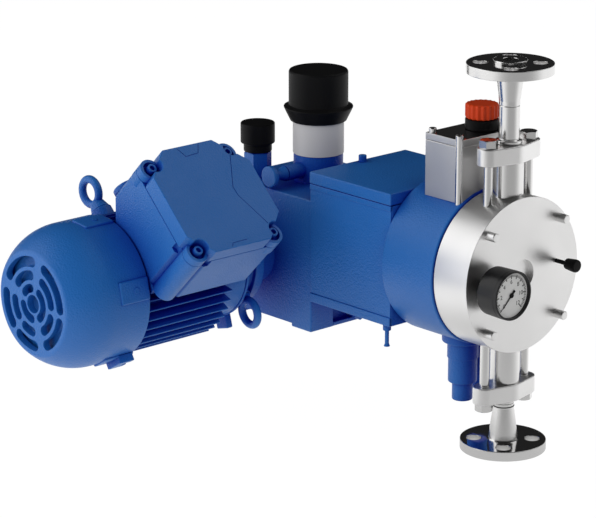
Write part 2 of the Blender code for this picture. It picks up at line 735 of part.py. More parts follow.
def worm_thread():
    """A trapezoid ridge swept along a right-hand helix, centred where the thread meets the wheel."""
    half_root, half_tip = THREAD_ROOT / 2, THREAD_TIP / 2
    depth = LAP / 2
    section = [(WORM_ROOT_R - depth, -half_root), (WORM_TIP_R, -half_tip),
               (WORM_TIP_R, half_tip), (WORM_ROOT_R - depth, half_root)]
    shape = bmesh.new()
    rings = []
    for i in range(THREAD_TURNS * SMALL_ROUND + 1):
        turn = 2 * math.pi * (i / SMALL_ROUND - THREAD_TURNS / 2)
        rise = WORM_LEAD * turn / (2 * math.pi)
        rings.append([
            shape.verts.new((r * math.cos(turn), r * math.sin(turn), rise + along)) for r, along in section
        ])
    for first, second in zip(rings, rings[1:]):
        for corner in range(len(section)):
            following = (corner + 1) % len(section)
            shape.faces.new((first[corner], first[following], second[following], second[corner]))
    shape.faces.new(rings[0])
    shape.faces.new(rings[-1])
    bmesh.ops.recalc_face_normals(shape, faces=shape.faces)
    return from_bmesh("worm_thread", shape, None, (MOTOR_X, 0, MOTOR_Z), TURN["Y"])


def drive_train():
    prism(
        "worm_wheel", [gear_outline(), circle(CRANK_R + GAP, SMALL_ROUND)],
        MOTOR_Z - WHEEL_WIDTH / 2, MOTOR_Z + WHEEL_WIDTH / 2, (0, 0, 0), material=BRONZE,
    )
    crank = rod("crankshaft", CRANK_R, CRANK_BOTTOM_Z, CRANK_TOP_Z, (0, 0, 0), material=DARK_STEEL)
    eccentric = rod(
        "eccentric", ECCENTRIC_R, PLUNGER_Z - ECCENTRIC_WIDTH / 2, PLUNGER_Z + ECCENTRIC_WIDTH / 2,
        (ECCENTRICITY, 0, 0), sides=ROUND,
    )
    unite(crank, eccentric)
    tip_low = CRANK_TOP_Z - SPINDLE_ENGAGEMENT
    cut(crank, rod(
        "tip_bore", SPINDLE_TIP_R + RUNNING, tip_low - KNOB_TRAVEL - GAP, CRANK_TOP_Z + CLEAR, (0, 0, 0)
    ))
    inner = HALF_WIDTH - CASE_WALL
    worm_half = WORM_LEAD * (THREAD_TURNS + 1) / 2 + THREAD_ROOT
    tail = inner + CASE_WALL / 2 - GAP
    start = -HALF_WIDTH
    worm = turned(
        "worm_shaft",
        [
            (0, tail), (WORM_JOURNAL_R, tail), (WORM_JOURNAL_R, worm_half),
            (WORM_ROOT_R, worm_half), (WORM_ROOT_R, start + COUPLING_LENGTH),
            (COUPLING_R, start + COUPLING_LENGTH), (COUPLING_R, start), (0, start),
        ],
        (MOTOR_X, 0, MOTOR_Z), "Y", DARK_STEEL, SMALL_ROUND,
    )
    unite(worm, worm_thread())
    swept = ECCENTRIC_R + ECCENTRICITY
    window_x = swept + ECCENTRICITY + GAP
    window_y = swept + GAP
    low_z, high_z = PLUNGER_Z - YOKE_HEIGHT / 2, PLUNGER_Z + YOKE_HEIGHT / 2
    reach_x = window_x + YOKE_WALL
    reach_y = window_y + YOKE_WALL
    crosshead = block("crosshead", (-reach_x, -reach_y, low_z), (reach_x, reach_y, high_z), DARK_STEEL)
    crosshead_end = CASE_FRONT + CASE_WALL + CROSSHEAD_END
    unite(crosshead, rod(
        "crosshead_guide", CROSSHEAD_R, reach_x - YOKE_WALL / 2, crosshead_end, (0, 0, PLUNGER_Z), "X",
        sides=ROUND,
    ))
    cut(crosshead, block(
        "crosshead_window", (-window_x, -window_y, low_z - CLEAR), (window_x, window_y, high_z + CLEAR)
    ))
    rod(
        "plunger", PLUNGER_R, crosshead_end + GAP, ADAPTER_X + PLUNGER_REACH, (0, 0, PLUNGER_Z), "X",
        STEEL, sides=ROUND,
    )


def stroke_adjuster():
    sleeve_low = BOSS_TOP_Z + GAP
    sleeve_top = sleeve_low + SLEEVE_LENGTH
    sleeve_bore = SLEEVE_R - SLEEVE_WALL
    turned(
        "scale_sleeve",
        [
            (SLEEVE_R, sleeve_top), (SLEEVE_R, sleeve_low),
            (sleeve_bore, sleeve_low), (sleeve_bore, sleeve_top),
        ],
        (0, 0, 0), material=GREY,
    )
    bore = SLEEVE_R + RUNNING
    flare_z = SKIRT_Z + SKIRT_HEIGHT
    turned(
        "stroke_knob",
        [
            (0, KNOB_TOP_Z), (KNOB_R, KNOB_TOP_Z), (KNOB_R, flare_z + KNOB_LIP), (SKIRT_FLARE_R, flare_z),
            (bore + SKIRT_EDGE, SKIRT_Z), (bore, SKIRT_Z), (bore, KNOB_CEILING_Z), (0, KNOB_CEILING_Z),
        ],
        (0, 0, 0), material=BLACK,
    )
    shoulder = CRANK_TOP_Z + KNOB_TRAVEL + LAP
    tip_low = CRANK_TOP_Z - SPINDLE_ENGAGEMENT
    top = KNOB_CEILING_Z - GAP
    turned(
        "stroke_spindle",
        [
            (0, top), (SPINDLE_R, top), (SPINDLE_R, shoulder),
            (SPINDLE_TIP_R, shoulder), (SPINDLE_TIP_R, tip_low), (0, tip_low),
        ],
        (0, 0, 0), material=DARK_STEEL, steps=SMALL_ROUND,
    )
    boss_face = -BOSS_R - LOCK_BOSS_LENGTH
    disc_back = LOCK_DISC_Y + LOCK_DISC_THICKNESS
    tip = -SPINDLE_R - RUNNING - LAP
    turned(
        "lock_screw",
        [
            (0, tip), (LOCK_SHAFT_R, tip), (LOCK_SHAFT_R, boss_face - GAP),
            (LOCK_BOSS_R, boss_face - GAP), (LOCK_NECK_R, (boss_face + disc_back) / 2),
            (LOCK_NECK_R, disc_back), (LOCK_DISC_R, disc_back), (LOCK_DISC_R, LOCK_DISC_Y),
            (0, LOCK_DISC_Y),
        ],
        (0, 0, LOCK_Z), "Y", BLUE, SMALL_ROUND,
    )


def oil_filler():
    at = (FILLER_X, FILLER_Y, 0)
    low = DECK_Z + GAP
    post = rod(
        "oil_filler_neck", hexagon_radius(FILLER_HEX), low, FILLER_TOP_Z, at, material=BLUE, sides=6
    )
    unite(post, rod("filler_shank", FILLER_BORE_R + LAP, CEILING_Z, low + LAP, at))
    cut(post, rod("filler_bore", FILLER_BORE_R, CEILING_Z - CLEAR, FILLER_TOP_Z + CLEAR, at))
    seat = FILLER_TOP_Z + GAP
    step = seat + FILLER_NECK
    top = step + FILLER_CAP
    turned(
        "oil_filler_cap",
        [(0, top), (FILLER_CAP_R, top), (FILLER_CAP_R, step), (FILLER_NECK_R, step), (FILLER_NECK_R, seat),
         (0, seat)],
        at, material=BLACK,
    )


def oil_valve_places():
    return [(name, (VALVE_X + x, y)) for name, (x, y) in OIL_VALVES.items()]


def tie_rod_places():
    half = TANK_WIDTH / 2
    rear = (TANK_X + REAR_ROD_INSET[0], half - REAR_ROD_INSET[1])
    front = (TANK_END - FRONT_ROD_INSET[0], half - FRONT_ROD_INSET[1])
    return [(x, side * y) for x, y in (rear, front) for side in (-1, 1)]


def head_bolt_places():
    spots = circle(HEAD_BOLT_CIRCLE_R, 4, (0, PLUNGER_Z), math.pi / 4)
    return [(f"head_bolt_{i}", spot) for i, spot in enumerate(spots, 1)]


def adapter():
    hollow_r = ADAPTER_R - ADAPTER_WALL
    hollow_end = ADAPTER_X + ADAPTER_HOLLOW
    bore = PLUNGER_R + RUNNING
    casing = turned(
        "drive_adapter",
        [
            (ADAPTER_R, ADAPTER_END), (ADAPTER_R, ADAPTER_X), (hollow_r, ADAPTER_X), (hollow_r, hollow_end),
            (ADAPTER_HUB_R, hollow_end), (ADAPTER_HUB_R, ADAPTER_X), (bore, ADAPTER_X),
            (bore, ADAPTER_END - OIL_CAVITY_DEPTH), (OIL_CAVITY_R, ADAPTER_END),
        ],
        (0, 0, PLUNGER_Z), "X", BLUE, LARGE_ROUND,
    )
    boss_low = PLUNGER_Z - ADAPTER_R - OIL_BOSS_DROP
    for name, (x, y) in oil_valve_places():
        skin = PLUNGER_Z - math.sqrt(ADAPTER_R**2 - y**2)
        boss = rod(name + "_boss", OIL_BOSS_R, boss_low, skin + ADAPTER_WALL / 2, (x, y, 0))
        unite(casing, boss)
        seat_top = skin + OIL_VALVE_SEAT
        seat = rod(name + "_seat", OIL_VALVE_R + GAP, boss_low - CLEAR, seat_top, (x, y, 0), sides=ROUND)
        cut(casing, seat)
        height = seat_top - GAP
        profile = [(0, height)]
        height_next = boss_low + GAP
        for radius, length in OIL_VALVE_STEPS:
            profile.append((radius, height))
            height = height_next - length
            profile.append((radius, height))
            height_next = height
        profile.append((0, height))
        turned(name, profile, (x, y, 0), material=BLUE)
    for x, y in tie_rod_places():
        skin = PLUNGER_Z + math.sqrt(ADAPTER_R**2 - y**2)
        cut(casing, rod(
            "tie_rod_hole", TIE_ROD_R + GAP, skin - TIE_ROD_GRIP, skin + CLEAR + TIE_ROD_R, (x, y, 0)
        ))
    for name, (y, z) in head_bolt_places():
        cut(casing, rod(
            name + "_thread", HEAD_BOLT_R + GAP, ADAPTER_END - HEAD_BOLT_GRIP, ADAPTER_END + CLEAR,
            (0, y, z), "X",
        ))


def diaphragm_and_head():
    membrane = turned(
        "diaphragm",
        [(0, DIAPHRAGM_X + DIAPHRAGM_THICKNESS), (DIAPHRAGM_R, DIAPHRAGM_X + DIAPHRAGM_THICKNESS),
         (DIAPHRAGM_R, DIAPHRAGM_X), (0, DIAPHRAGM_X)],
        (0, 0, PLUNGER_Z), "X", RUBBER, LARGE_ROUND,
    )
    pocket = HEAD_FACE - HEAD_POCKET_DEPTH
    chamber = HEAD_X + CHAMBER_DEPTH
    head = turned(
        "pump_head",
        [
            (0, pocket), (HEAD_POCKET_R, pocket), (HEAD_POCKET_R, HEAD_FACE), (HEAD_R, HEAD_FACE),
            (HEAD_R, HEAD_X), (CHAMBER_R, HEAD_X), (CHAMBER_R - CHAMBER_DEPTH, chamber), (0, chamber),
        ],
        (0, 0, PLUNGER_Z), "X", STEEL, LARGE_ROUND,
    )
    seat = HEAD_R - VALVE_SEAT_DEPTH
    valve_bore = rod("head_bore", PORT_R, -HEAD_R, HEAD_R, (VALVE_X, 0, PLUNGER_Z))
    port = rod("head_port", PORT_R - LAP / 2, HEAD_X, VALVE_X, (0, 0, PLUNGER_Z), "X")
    cut(head, valve_bore, port)
    for axis in ("Z", "-Z"):
        at = (VALVE_X, 0, PLUNGER_Z)
        cut(head, rod("valve_seat", VALVE_R + GAP, seat, HEAD_R + CLEAR, at, axis, sides=ROUND))
        for side in (-1, 1):
            at = (VALVE_X, side * YOKE_BOLT_SPACING / 2, PLUNGER_Z)
            cut(head, rod("yoke_thread", YOKE_BOLT_R + GAP, yoke_bolt_end() - GAP, HEAD_R + CLEAR, at, axis))
    gauge_at = (0, GAUGE_Y, GAUGE_Z)
    stem_end = HEAD_FACE - GAUGE_STEM_GRIP - GAP
    stem = rod("gauge_hole", GAUGE_STEM_R + GAP, stem_end, HEAD_FACE + CLEAR, gauge_at, "X", sides=ROUND)
    vent_at = (0, VENT_Y, VENT_Z)
    vent_end = HEAD_FACE - VENT_GRIP - GAP
    vent = rod("vent_hole", VENT_STEM_R + RUNNING, vent_end, HEAD_FACE + CLEAR, vent_at, "X")
    cut(head, stem, vent)
    for name, (y, z) in head_bolt_places():
        hole = rod(
            name + "_hole", HEAD_BOLT_R + GAP, DIAPHRAGM_X - CLEAR, HEAD_FACE + CLEAR, (0, y, z), "X"
        )
        cut(membrane, hole)
        cut(head, hole)
        bolt = rod(
            name, HEAD_BOLT_R, ADAPTER_END - HEAD_BOLT_GRIP + GAP, HEAD_FACE + HEAD_BOLT_PROUD, (0, y, z),
            "X", STEEL,
        )
        bevel(bolt, HEAD_BOLT_ROUND)


def yoke_bolt_end():
    """Inner end of a yoke bolt, from the plunger axis."""
    skin = math.sqrt(HEAD_R**2 - (YOKE_BOLT_SPACING / 2) ** 2)
    return skin - YOKE_BOLT_GRIP


def yoke_outline():
    """The hull of a large middle circle and two small end circles, in the yoke's own plane."""
    spread = YOKE_BOLT_SPACING / 2
    lean = math.asin((YOKE_MIDDLE_R - YOKE_END_R) / spread)
    points = []
    for facing in (0, math.pi):
        centre = (0, spread if facing == 0 else -spread)
        points += circle(YOKE_END_R, 6, centre, facing + lean, math.pi - 2 * lean)
        points += circle(YOKE_MIDDLE_R, 3, (0, 0), facing + math.pi - lean, 2 * lean)
    return points


def check_valve(kind, axis, yoke_reach, flange_reach, neck_length, flare):
    """Yoke, bolts, valve body, ball and flanged stub on one side of the head, outwards along the axis."""
    at = (VALVE_X, 0, PLUNGER_Z)
    outward = 1 if axis == "Z" else -1
    yoke_top = yoke_reach + YOKE_THICKNESS
    shoulder = yoke_reach + YOKE_SHOULDER
    yoke = prism(f"{kind}_yoke", [yoke_outline()], yoke_reach, yoke_top, at, axis, STEEL)
    cut(
        yoke,
        rod("yoke_seat", VALVE_R + GAP, yoke_reach - CLEAR, shoulder, at, axis, sides=ROUND),
        rod("yoke_hole", PIPE_R + GAP, yoke_reach, yoke_top + CLEAR, at, axis, sides=ROUND),
    )
    for place_name, side in (("near", -1), ("far", 1)):
        spot = (VALVE_X, side * YOKE_BOLT_SPACING / 2, PLUNGER_Z)
        cut(yoke, rod("yoke_bolt_hole", YOKE_BOLT_R + GAP, yoke_reach - CLEAR, yoke_top + CLEAR, spot, axis))
        head_low = yoke_top + GAP
        bolt = rod(
            f"{kind}_bolt_{place_name}", hexagon_radius(YOKE_BOLT_HEX), head_low, head_low + YOKE_BOLT_HEAD,
            spot, axis, STEEL, sides=6,
        )
        unite(bolt, rod("yoke_bolt_shank", YOKE_BOLT_R, yoke_bolt_end(), head_low + LAP, spot, axis))
    body_low = HEAD_R - VALVE_SEAT_DEPTH + GAP
    body_top = shoulder - GAP
    chamber = ball_chamber_height()
    middle = (body_low + body_top) / 2
    first, second = middle - chamber / 2, middle + chamber / 2
    turned(
        f"{kind}_valve",
        [
            (VALVE_R, body_top), (VALVE_R, body_low), (VALVE_BORE_R, body_low), (VALVE_BORE_R, first),
            (BALL_CHAMBER_R, first), (BALL_CHAMBER_R, second), (VALVE_BORE_R, second),
            (VALVE_BORE_R, body_top),
        ],
        at, axis, STEEL, ROUND,
    )
    seat = PLUNGER_Z + outward * middle - chamber / 2
    ball_z = seat + ball_height() + BALL_ROOM
    ball = bmesh.new()
    bmesh.ops.create_uvsphere(ball, u_segments=SMALL_ROUND, v_segments=BALL_RINGS, radius=BALL_R)
    from_bmesh(f"{kind}_ball", ball, DARK_STEEL, (VALVE_X, 0, ball_z), TURN["Z"])
    neck_start = flange_reach - neck_length
    flange_top = flange_reach + FLANGE_THICKNESS
    face_top = flange_top + FLANGE_FACE_RISE
    foot = yoke_top + GAP
    foot_flare = [(PIPE_R, foot + FLARE_HEIGHT), (FLARE_R, foot), (PIPE_R, foot)] if flare else []
    stub = turned(
        f"{kind}_flange",
        [
            (FLANGE_FACE_R, face_top), (FLANGE_FACE_R, flange_top), (FLANGE_R, flange_top),
            (FLANGE_R, flange_reach), (NECK_R, flange_reach), (PIPE_R, neck_start), *foot_flare,
            (PIPE_R, shoulder + GAP), (PIPE_BORE_R, shoulder + GAP), (PIPE_BORE_R, face_top),
        ],
        at, axis, STEEL, ROUND,
    )
    for x, y in circle(FLANGE_HOLE_CIRCLE_R, 4, start=math.pi / 4):
        spot = (VALVE_X + x, y, PLUNGER_Z)
        cut(stub, rod("flange_hole", FLANGE_HOLE_R, flange_reach - CLEAR / 2, flange_top + CLEAR, spot, axis))


def ball_height():
    """Height of the ball's centre above the edge that it seats on."""
    return math.sqrt(BALL_R**2 - VALVE_BORE_R**2)


def ball_chamber_height():
    return 2 * (ball_height() + BALL_ROOM) + BALL_LIFT


def reservoir():
    half = TANK_WIDTH / 2
    tank = block("reservoir_tank", (TANK_X, -half, PLUNGER_Z), (TANK_END, half, TANK_TOP_Z), STEEL)
    saddle = rod(
        "adapter_saddle", ADAPTER_R + GAP, TANK_X - CLEAR, TANK_END + CLEAR, (0, 0, PLUNGER_Z), "X",
        sides=LARGE_ROUND,
    )
    room = block(
        "tank_room",
        (TANK_X + TANK_WALL, -half + TANK_WALL, PLUNGER_Z + ADAPTER_R + TANK_WALL),
        (TANK_END - TANK_WALL, half - TANK_WALL, TANK_TOP_Z + CLEAR),
    )
    cut(tank, saddle, room)
    lid = block(
        "reservoir_lid", (TANK_X, -half, TANK_TOP_Z + GAP), (TANK_END, half, LID_TOP_Z), STEEL
    )
    cap_at = (VALVE_X + CAP_X, CAP_Y, 0)
    hole_r = CAP_BORE_R + LAP + GAP
    cut(lid, rod("lid_hole", hole_r, TANK_TOP_Z - CLEAR, LID_TOP_Z + CLEAR, cap_at, sides=ROUND))
    for number, (x, y) in enumerate(tie_rod_places(), 1):
        skin = PLUNGER_Z + math.sqrt(ADAPTER_R**2 - y**2)
        hole = rod("tie_rod_hole", TIE_ROD_R + GAP, PLUNGER_Z, LID_TOP_Z + CLEAR, (x, y, 0))
        cut(tank, hole)
        cut(lid, hole)
        if x > VALVE_X + CAP_X:
            # a front rod stands free in the corner
            side = math.copysign(half + CLEAR, y)
            low, high = sorted((y, side))
            corner = block("tank_corner", (x, low, PLUNGER_Z), (TANK_END + CLEAR, high, LID_TOP_Z + CLEAR))
            cut(tank, corner)
            cut(lid, corner)
        rod(
            f"tie_rod_{number}", TIE_ROD_R, skin - TIE_ROD_GRIP + GAP, LID_TOP_Z + TIE_ROD_PROUD, (x, y, 0),
            material=STEEL,
        )
    seat = LID_TOP_Z + GAP
    neck_top = seat + CAP_NECK
    turned(
        "reservoir_neck",
        [
            (CAP_NECK_R, neck_top), (CAP_NECK_R, seat), (CAP_BORE_R + LAP, seat),
            (CAP_BORE_R + LAP, TANK_TOP_Z + GAP), (CAP_BORE_R, TANK_TOP_Z + GAP), (CAP_BORE_R, neck_top),
        ],
        cap_at, material=BLACK,
    )
    cap_low = neck_top + GAP
    cap = rod("reservoir_cap", CAP_R, cap_low, cap_low + CAP_HEIGHT, cap_at, material=ORANGE, sides=ROUND)
    bevel(cap, CAP_ROUND)


def gauge_and_vent():
    back = HEAD_FACE + GAUGE_STANDOFF
    front = back + GAUGE_LENGTH
    floor = front - DIAL_DEPTH - DIAL_THICKNESS
    inner = GAUGE_R - GAUGE_WALL
    stem_end = HEAD_FACE - GAUGE_STEM_GRIP
    at = (0, GAUGE_Y, GAUGE_Z)
    turned(
        "gauge_case",
        [
            (0, floor), (inner, floor), (inner, front), (GAUGE_R, front), (GAUGE_R, back),
            (GAUGE_STEM_R, back), (GAUGE_STEM_R, stem_end), (0, stem_end),
        ],
        at, "X", BLACK,
    )
    dial_low = floor + GAP
    dial_top = dial_low + DIAL_THICKNESS
    pin_hole = POINTER_PIN_R + GAP
    turned(
        "gauge_dial",
        [(inner - GAP, dial_top), (inner - GAP, dial_low), (pin_hole, dial_low), (pin_hole, dial_top)],
        at, "X", DIAL,
    )
    needle = [
        (POINTER_LENGTH, 0), (0, POINTER_WIDTH / 2), (-POINTER_TAIL, POINTER_WIDTH),
        (-POINTER_TAIL, -POINTER_WIDTH), (0, -POINTER_WIDTH / 2),
    ]
    # the gauge is read from +X, with its own X axis up and its own Y axis to the reader's right
    lie = TURN["X"] @ Matrix.Rotation(math.pi, 4, "Z") @ Matrix.Rotation(-POINTER_REST + math.pi / 2, 4, "Z")
    pointer_top = dial_top + GAP + POINTER_THICKNESS
    pointer = prism("gauge_pointer", [needle], dial_top + GAP, pointer_top, at, lie, BLACK)
    unite(pointer, rod("pointer_pin", POINTER_PIN_R, dial_low, pointer_top + POINTER_PIN_RISE, at, "X"))
    knob_low = HEAD_FACE + VENT_STEM
    turned(
        "vent_screw",
        [
            (0, knob_low + VENT_KNOB), (VENT_KNOB_R, knob_low + VENT_KNOB),
            (VENT_KNOB_R - VENT_KNOB_TAPER, knob_low), (VENT_STEM_R, knob_low),
            (VENT_STEM_R, HEAD_FACE - VENT_GRIP), (0, HEAD_FACE - VENT_GRIP),
        ],
        (0, VENT_Y, VENT_Z), "X", BLACK, SMALL_ROUND,
    )


def motor_at():
    return (MOTOR_X, 0, MOTOR_Z)


def radial(turn):
    """The turn that lays a shape's own Z axis out from the motor axis, at this angle from +X towards +Z."""
    return Matrix.Rotation(math.pi / 2 - turn, 4, "Y")


def fin_outline():
    points = []
    for fin in range(FIN_COUNT):
        middle = 2 * math.pi * fin / FIN_COUNT
        for radius, side in ((FRAME_ROOT_R, -1), (FIN_TIP_R, -1), (FIN_TIP_R, 1), (FRAME_ROOT_R, 1)):
            angle = middle + side * math.asin(FIN_THICKNESS / 2 / radius)
            points.append((radius * math.cos(angle), radius * math.sin(angle)))
    return points


def motor_casing():
    section = [fin_outline(), circle(FRAME_BORE_R, ROUND)]
    frame = prism("motor_frame", section, FRAME_END_Y, FRAME_Y, motor_at(), "Y", BLUE)
    wall_r = (FRAME_BORE_R + FRAME_ROOT_R) / 2
    rear_wall = rod(
        "rear_wall", wall_r, FRAME_END_Y + LAP, FRAME_END_Y + LAP + REAR_WALL, motor_at(), "Y", sides=ROUND
    )
    pad_at = (MOTOR_X, UPPER_EYE_Y, MOTOR_Z)
    pad_top = FIN_TIP_R + EYE_PAD_RISE
    upper = radial(UPPER_EYE_TURN)
    pad = rod("eye_pad", EYE_PAD_R, FRAME_ROOT_R - LAP, pad_top, pad_at, upper)
    unite(frame, rear_wall, pad)
    shaft_bore = rod(
        "rear_bore", SHAFT_R + RUNNING, FRAME_END_Y - CLEAR, FRAME_END_Y + REAR_WALL + CLEAR, motor_at(), "Y"
    )
    eye_hole = rod("eye_hole", EYE_SHANK_R + GAP, pad_top - EYE_SHANK, pad_top + CLEAR, pad_at, upper)
    cut(frame, shaft_bore, eye_hole)
    back = SHIELD_Y - SHIELD_LENGTH
    rim_back = SHIELD_Y - FLANGE_RIM
    edge_r = (FRAME_ROOT_R + FIN_TIP_R) / 2
    spigot_r = FRAME_BORE_R - GAP
    spigot_bore = spigot_r - SPIGOT_LENGTH
    shield_bore = SHIELD_R - SHIELD_WALL
    shield = turned(
        "drive_end_shield",
        [
            (FLANGE_RIM_R, SHIELD_Y), (FLANGE_RIM_R, rim_back), (SHIELD_R, rim_back),
            (SHIELD_R, back + 2 * SHIELD_EDGE), (edge_r, back + SHIELD_EDGE), (edge_r, back),
            (spigot_r, back), (spigot_r, back - SPIGOT_LENGTH), (spigot_bore, back - SPIGOT_LENGTH),
            (shield_bore, back), (shield_bore, rim_back), (SHAFT_R + RUNNING, rim_back),
            (SHAFT_R + RUNNING, SHIELD_Y),
        ],
        motor_at(), "Y", BLUE,
    )
    for i in range(SHIELD_EARS):
        ear_turn = SHIELD_EAR_TURN + 2 * math.pi * i / SHIELD_EARS
        unite(shield, block(
            "shield_ear",
            (-SHIELD_EAR_WIDTH / 2, back, FRAME_ROOT_R - LAP),
            (SHIELD_EAR_WIDTH / 2, back + SHIELD_EAR_LENGTH, FIN_TIP_R + SHIELD_EAR_RISE),
            turn=radial(ear_turn), at=motor_at(),
        ))
    pad_at = (MOTOR_X, LOWER_EYE_Y, MOTOR_Z)
    seat = LOWER_EYE_SEAT
    pad = rod("lower_eye_pad", EYE_PAD_R, SHIELD_R - 2 * LAP, seat, pad_at, radial(LOWER_EYE_TURN))
    unite(shield, pad)
    cut(shield, rod(
        "lower_eye_hole", EYE_SHANK_R + GAP, seat - EYE_SHANK, seat + CLEAR, pad_at, radial(LOWER_EYE_TURN)
    ))
    lower = radial(LOWER_EYE_TURN) @ Matrix.Rotation(LOWER_EYE_TWIST, 4, "Z")
    lifting_eye("lifting_eye_upper", upper, UPPER_EYE_Y, pad_top, UPPER_EYE_OUT, UPPER_COLLAR_R)
    lifting_eye("lifting_eye_lower", lower, LOWER_EYE_Y, seat, LOWER_EYE_OUT, LOWER_COLLAR_R)


def lifting_eye(name, lie, y, seat, ring_out, collar_r):
    """A ring on a collar, screwed in square to the motor axis; its hole looks along the motor."""
    at = (MOTOR_X, y, MOTOR_Z)
    low = seat + GAP
    collar_top = ring_out - EYE_RING_R
    eye = rod(name, collar_r, low, collar_top, at, lie, BLUE, top_radius=EYE_WIRE_R)
    shank = rod("eye_shank", EYE_SHANK_R, seat - EYE_SHANK + GAP, low + LAP / 2, at, lie)
    bpy.ops.mesh.primitive_torus_add(
        major_radius=EYE_RING_R, minor_radius=EYE_WIRE_R,
        major_segments=EYE_FACETS, minor_segments=WIRE_FACETS,
    )
    ring = bpy.context.object
    ring.name = name + "_ring"
    for owner in list(ring.users_collection):
        owner.objects.unlink(ring)
    place(ring, None, at, lie @ Matrix.Translation((0, 0, ring_out)) @ TURN["Y"])
    unite(eye, ring, shank)


def motor_inside():
    core_end = CORE_Y - CORE_LENGTH
    bore = ROTOR_R + AIR_GAP
    outside = FRAME_BORE_R - GAP
    winding_in = bore + (outside - bore) / 4
    winding_out = outside - (outside - bore) / 4
    turned(
        "stator",
        [
            (winding_out, CORE_Y + WINDING), (winding_out, CORE_Y), (outside, CORE_Y), (outside, core_end),
            (winding_out, core_end), (winding_out, core_end - WINDING), (winding_in, core_end - WINDING),
            (winding_in, core_end), (bore, core_end), (bore, CORE_Y), (winding_in, CORE_Y),
            (winding_in, CORE_Y + WINDING),
        ],
        motor_at(), "Y", LAMINATE,
    )
    fan_front = FRAME_END_Y - FAN_SETBACK
    fan_back = fan_front - FAN_PLATE - FAN_BLADE
    shaft_end = fan_back - SHAFT_TAIL
    coupling = -HALF_WIDTH - GAP
    turned(
        "rotor",
        [
            (0, coupling), (SHAFT_R, coupling), (SHAFT_R, CORE_Y), (ROTOR_R, CORE_Y), (ROTOR_R, core_end),
            (SHAFT_R, core_end), (SHAFT_R, shaft_end), (0, shaft_end),
        ],
        motor_at(), "Y", LAMINATE,
    )
    fan = turned(
        "cooling_fan",
        [
            (FAN_R, fan_front), (FAN_R, fan_front - FAN_PLATE), (FAN_HUB_R, fan_front - FAN_PLATE),
            (FAN_HUB_R, fan_back), (SHAFT_R + GAP, fan_back), (SHAFT_R + GAP, fan_front),
        ],
        motor_at(), "Y", BLACK,
    )
    for i in range(FAN_BLADES):
        unite(fan, block(
            "fan_blade",
            (-FAN_PLATE / 2, fan_back + LAP, FAN_HUB_R - LAP),
            (FAN_PLATE / 2, fan_front - FAN_PLATE / 2, FAN_R - LAP),
            turn=radial(2 * math.pi * i / FAN_BLADES), at=motor_at(),
        ))


def grille_slot(inner, outer, count, number):
    """One round-ended slot of a ring of slots, between two spokes."""
    middle = (inner + outer) / 2
    half = (outer - inner) / 2
    span = 2 * math.pi / count
    inset = (GRILLE_SPOKE / 2 + half) / middle
    start = GRILLE_TURN + span * number + inset
    sweep = span - 2 * inset
    first = (middle * math.cos(start), middle * math.sin(start))
    last = (middle * math.cos(start + sweep), middle * math.sin(start + sweep))
    return (
        circle(outer, 4, (0, 0), start, sweep)
        + circle(half, 4, last, start + sweep, math.pi)[1:-1]
        + circle(inner, 3, (0, 0), start + sweep, -sweep)
        + circle(half, 4, first, start + math.pi, math.pi)[1:-1]
    )


def fan_cowl():
    inner_r = COWL_R - COWL_WALL
    step_in = COWL_R - COWL_FACE_R
    dome_r = (COWL_DOME**2 + step_in**2) / (2 * step_in)
    sweep = math.asin(COWL_DOME / dome_r)
    bends = [sweep * i / DOME_STEPS for i in range(DOME_STEPS + 1)]
    dome_start = COWL_END_Y + COWL_DOME
    outer = [
        (COWL_R - dome_r * (1 - math.cos(bend)), dome_start - dome_r * math.sin(bend)) for bend in bends
    ]
    inner = [(radius - COWL_WALL, height + COWL_WALL) for radius, height in reversed(outer)]
    inner[-1] = (inner_r, outer[0][1])
    cowl = turned(
        "fan_cowl",
        [(COWL_R, COWL_RIM_Y), *outer, (COWL_HOLE_R, COWL_END_Y), (COWL_HOLE_R, COWL_END_Y + COWL_WALL),
         *inner, (inner_r, COWL_RIM_Y)],
        motor_at(), "Y", BLUE,
    )
    for i in range(COWL_PADS):
        unite(cowl, block(
            "cowl_pad",
            (-COWL_PAD_WIDTH / 2, COWL_RIM_Y - COWL_PAD_LENGTH, inner_r * math.cos(math.pi / ROUND) + GAP),
            (COWL_PAD_WIDTH / 2, COWL_RIM_Y, COWL_R + COWL_PAD_RISE),
            turn=radial(COWL_PAD_TURN + 2 * math.pi * i / COWL_PADS), at=motor_at(),
        ))
    lug_turn = COWL_PAD_TURN + 2 * math.pi * (COWL_PADS - 1) / COWL_PADS
    lug_at = (MOTOR_X, COWL_RIM_Y - COWL_LUG_INSET, MOTOR_Z)
    lug_low = COWL_R - COWL_WALL / 2
    unite(cowl, rod("cowl_lug", COWL_LUG_R, lug_low, COWL_R + COWL_LUG_RISE, lug_at, radial(lug_turn)))
    slots = []
    for inside, outside, count in GRILLE_RINGS:
        slots += [grille_slot(inside, outside, count, number) for number in range(count)]
    cut(cowl, prism(
        "grille", slots, COWL_END_Y - CLEAR, COWL_END_Y + COWL_WALL + LAP, motor_at(), "Y"
    ))


def octagon(width, length, corner, bulge=0.0):
    """A rectangle with its corners cut off; a bulge swells its +Y and -X sides."""
    x, y = width / 2, length / 2
    swelling = [
        (x - corner - bulge, y + bulge), (-x + corner + bulge, y + bulge), (-x + corner, y),
        (-x, y - corner), (-x - bulge, y - corner - bulge), (-x - bulge, -y + corner + bulge),
    ]
    if bulge == 0:
        swelling = [(-x + corner, y), (-x, y - corner)]
    return [
        (x, -y + corner), (x, y - corner), (x - corner, y), *swelling,
        (-x, -y + corner), (-x + corner, -y), (x - corner, -y),
    ]


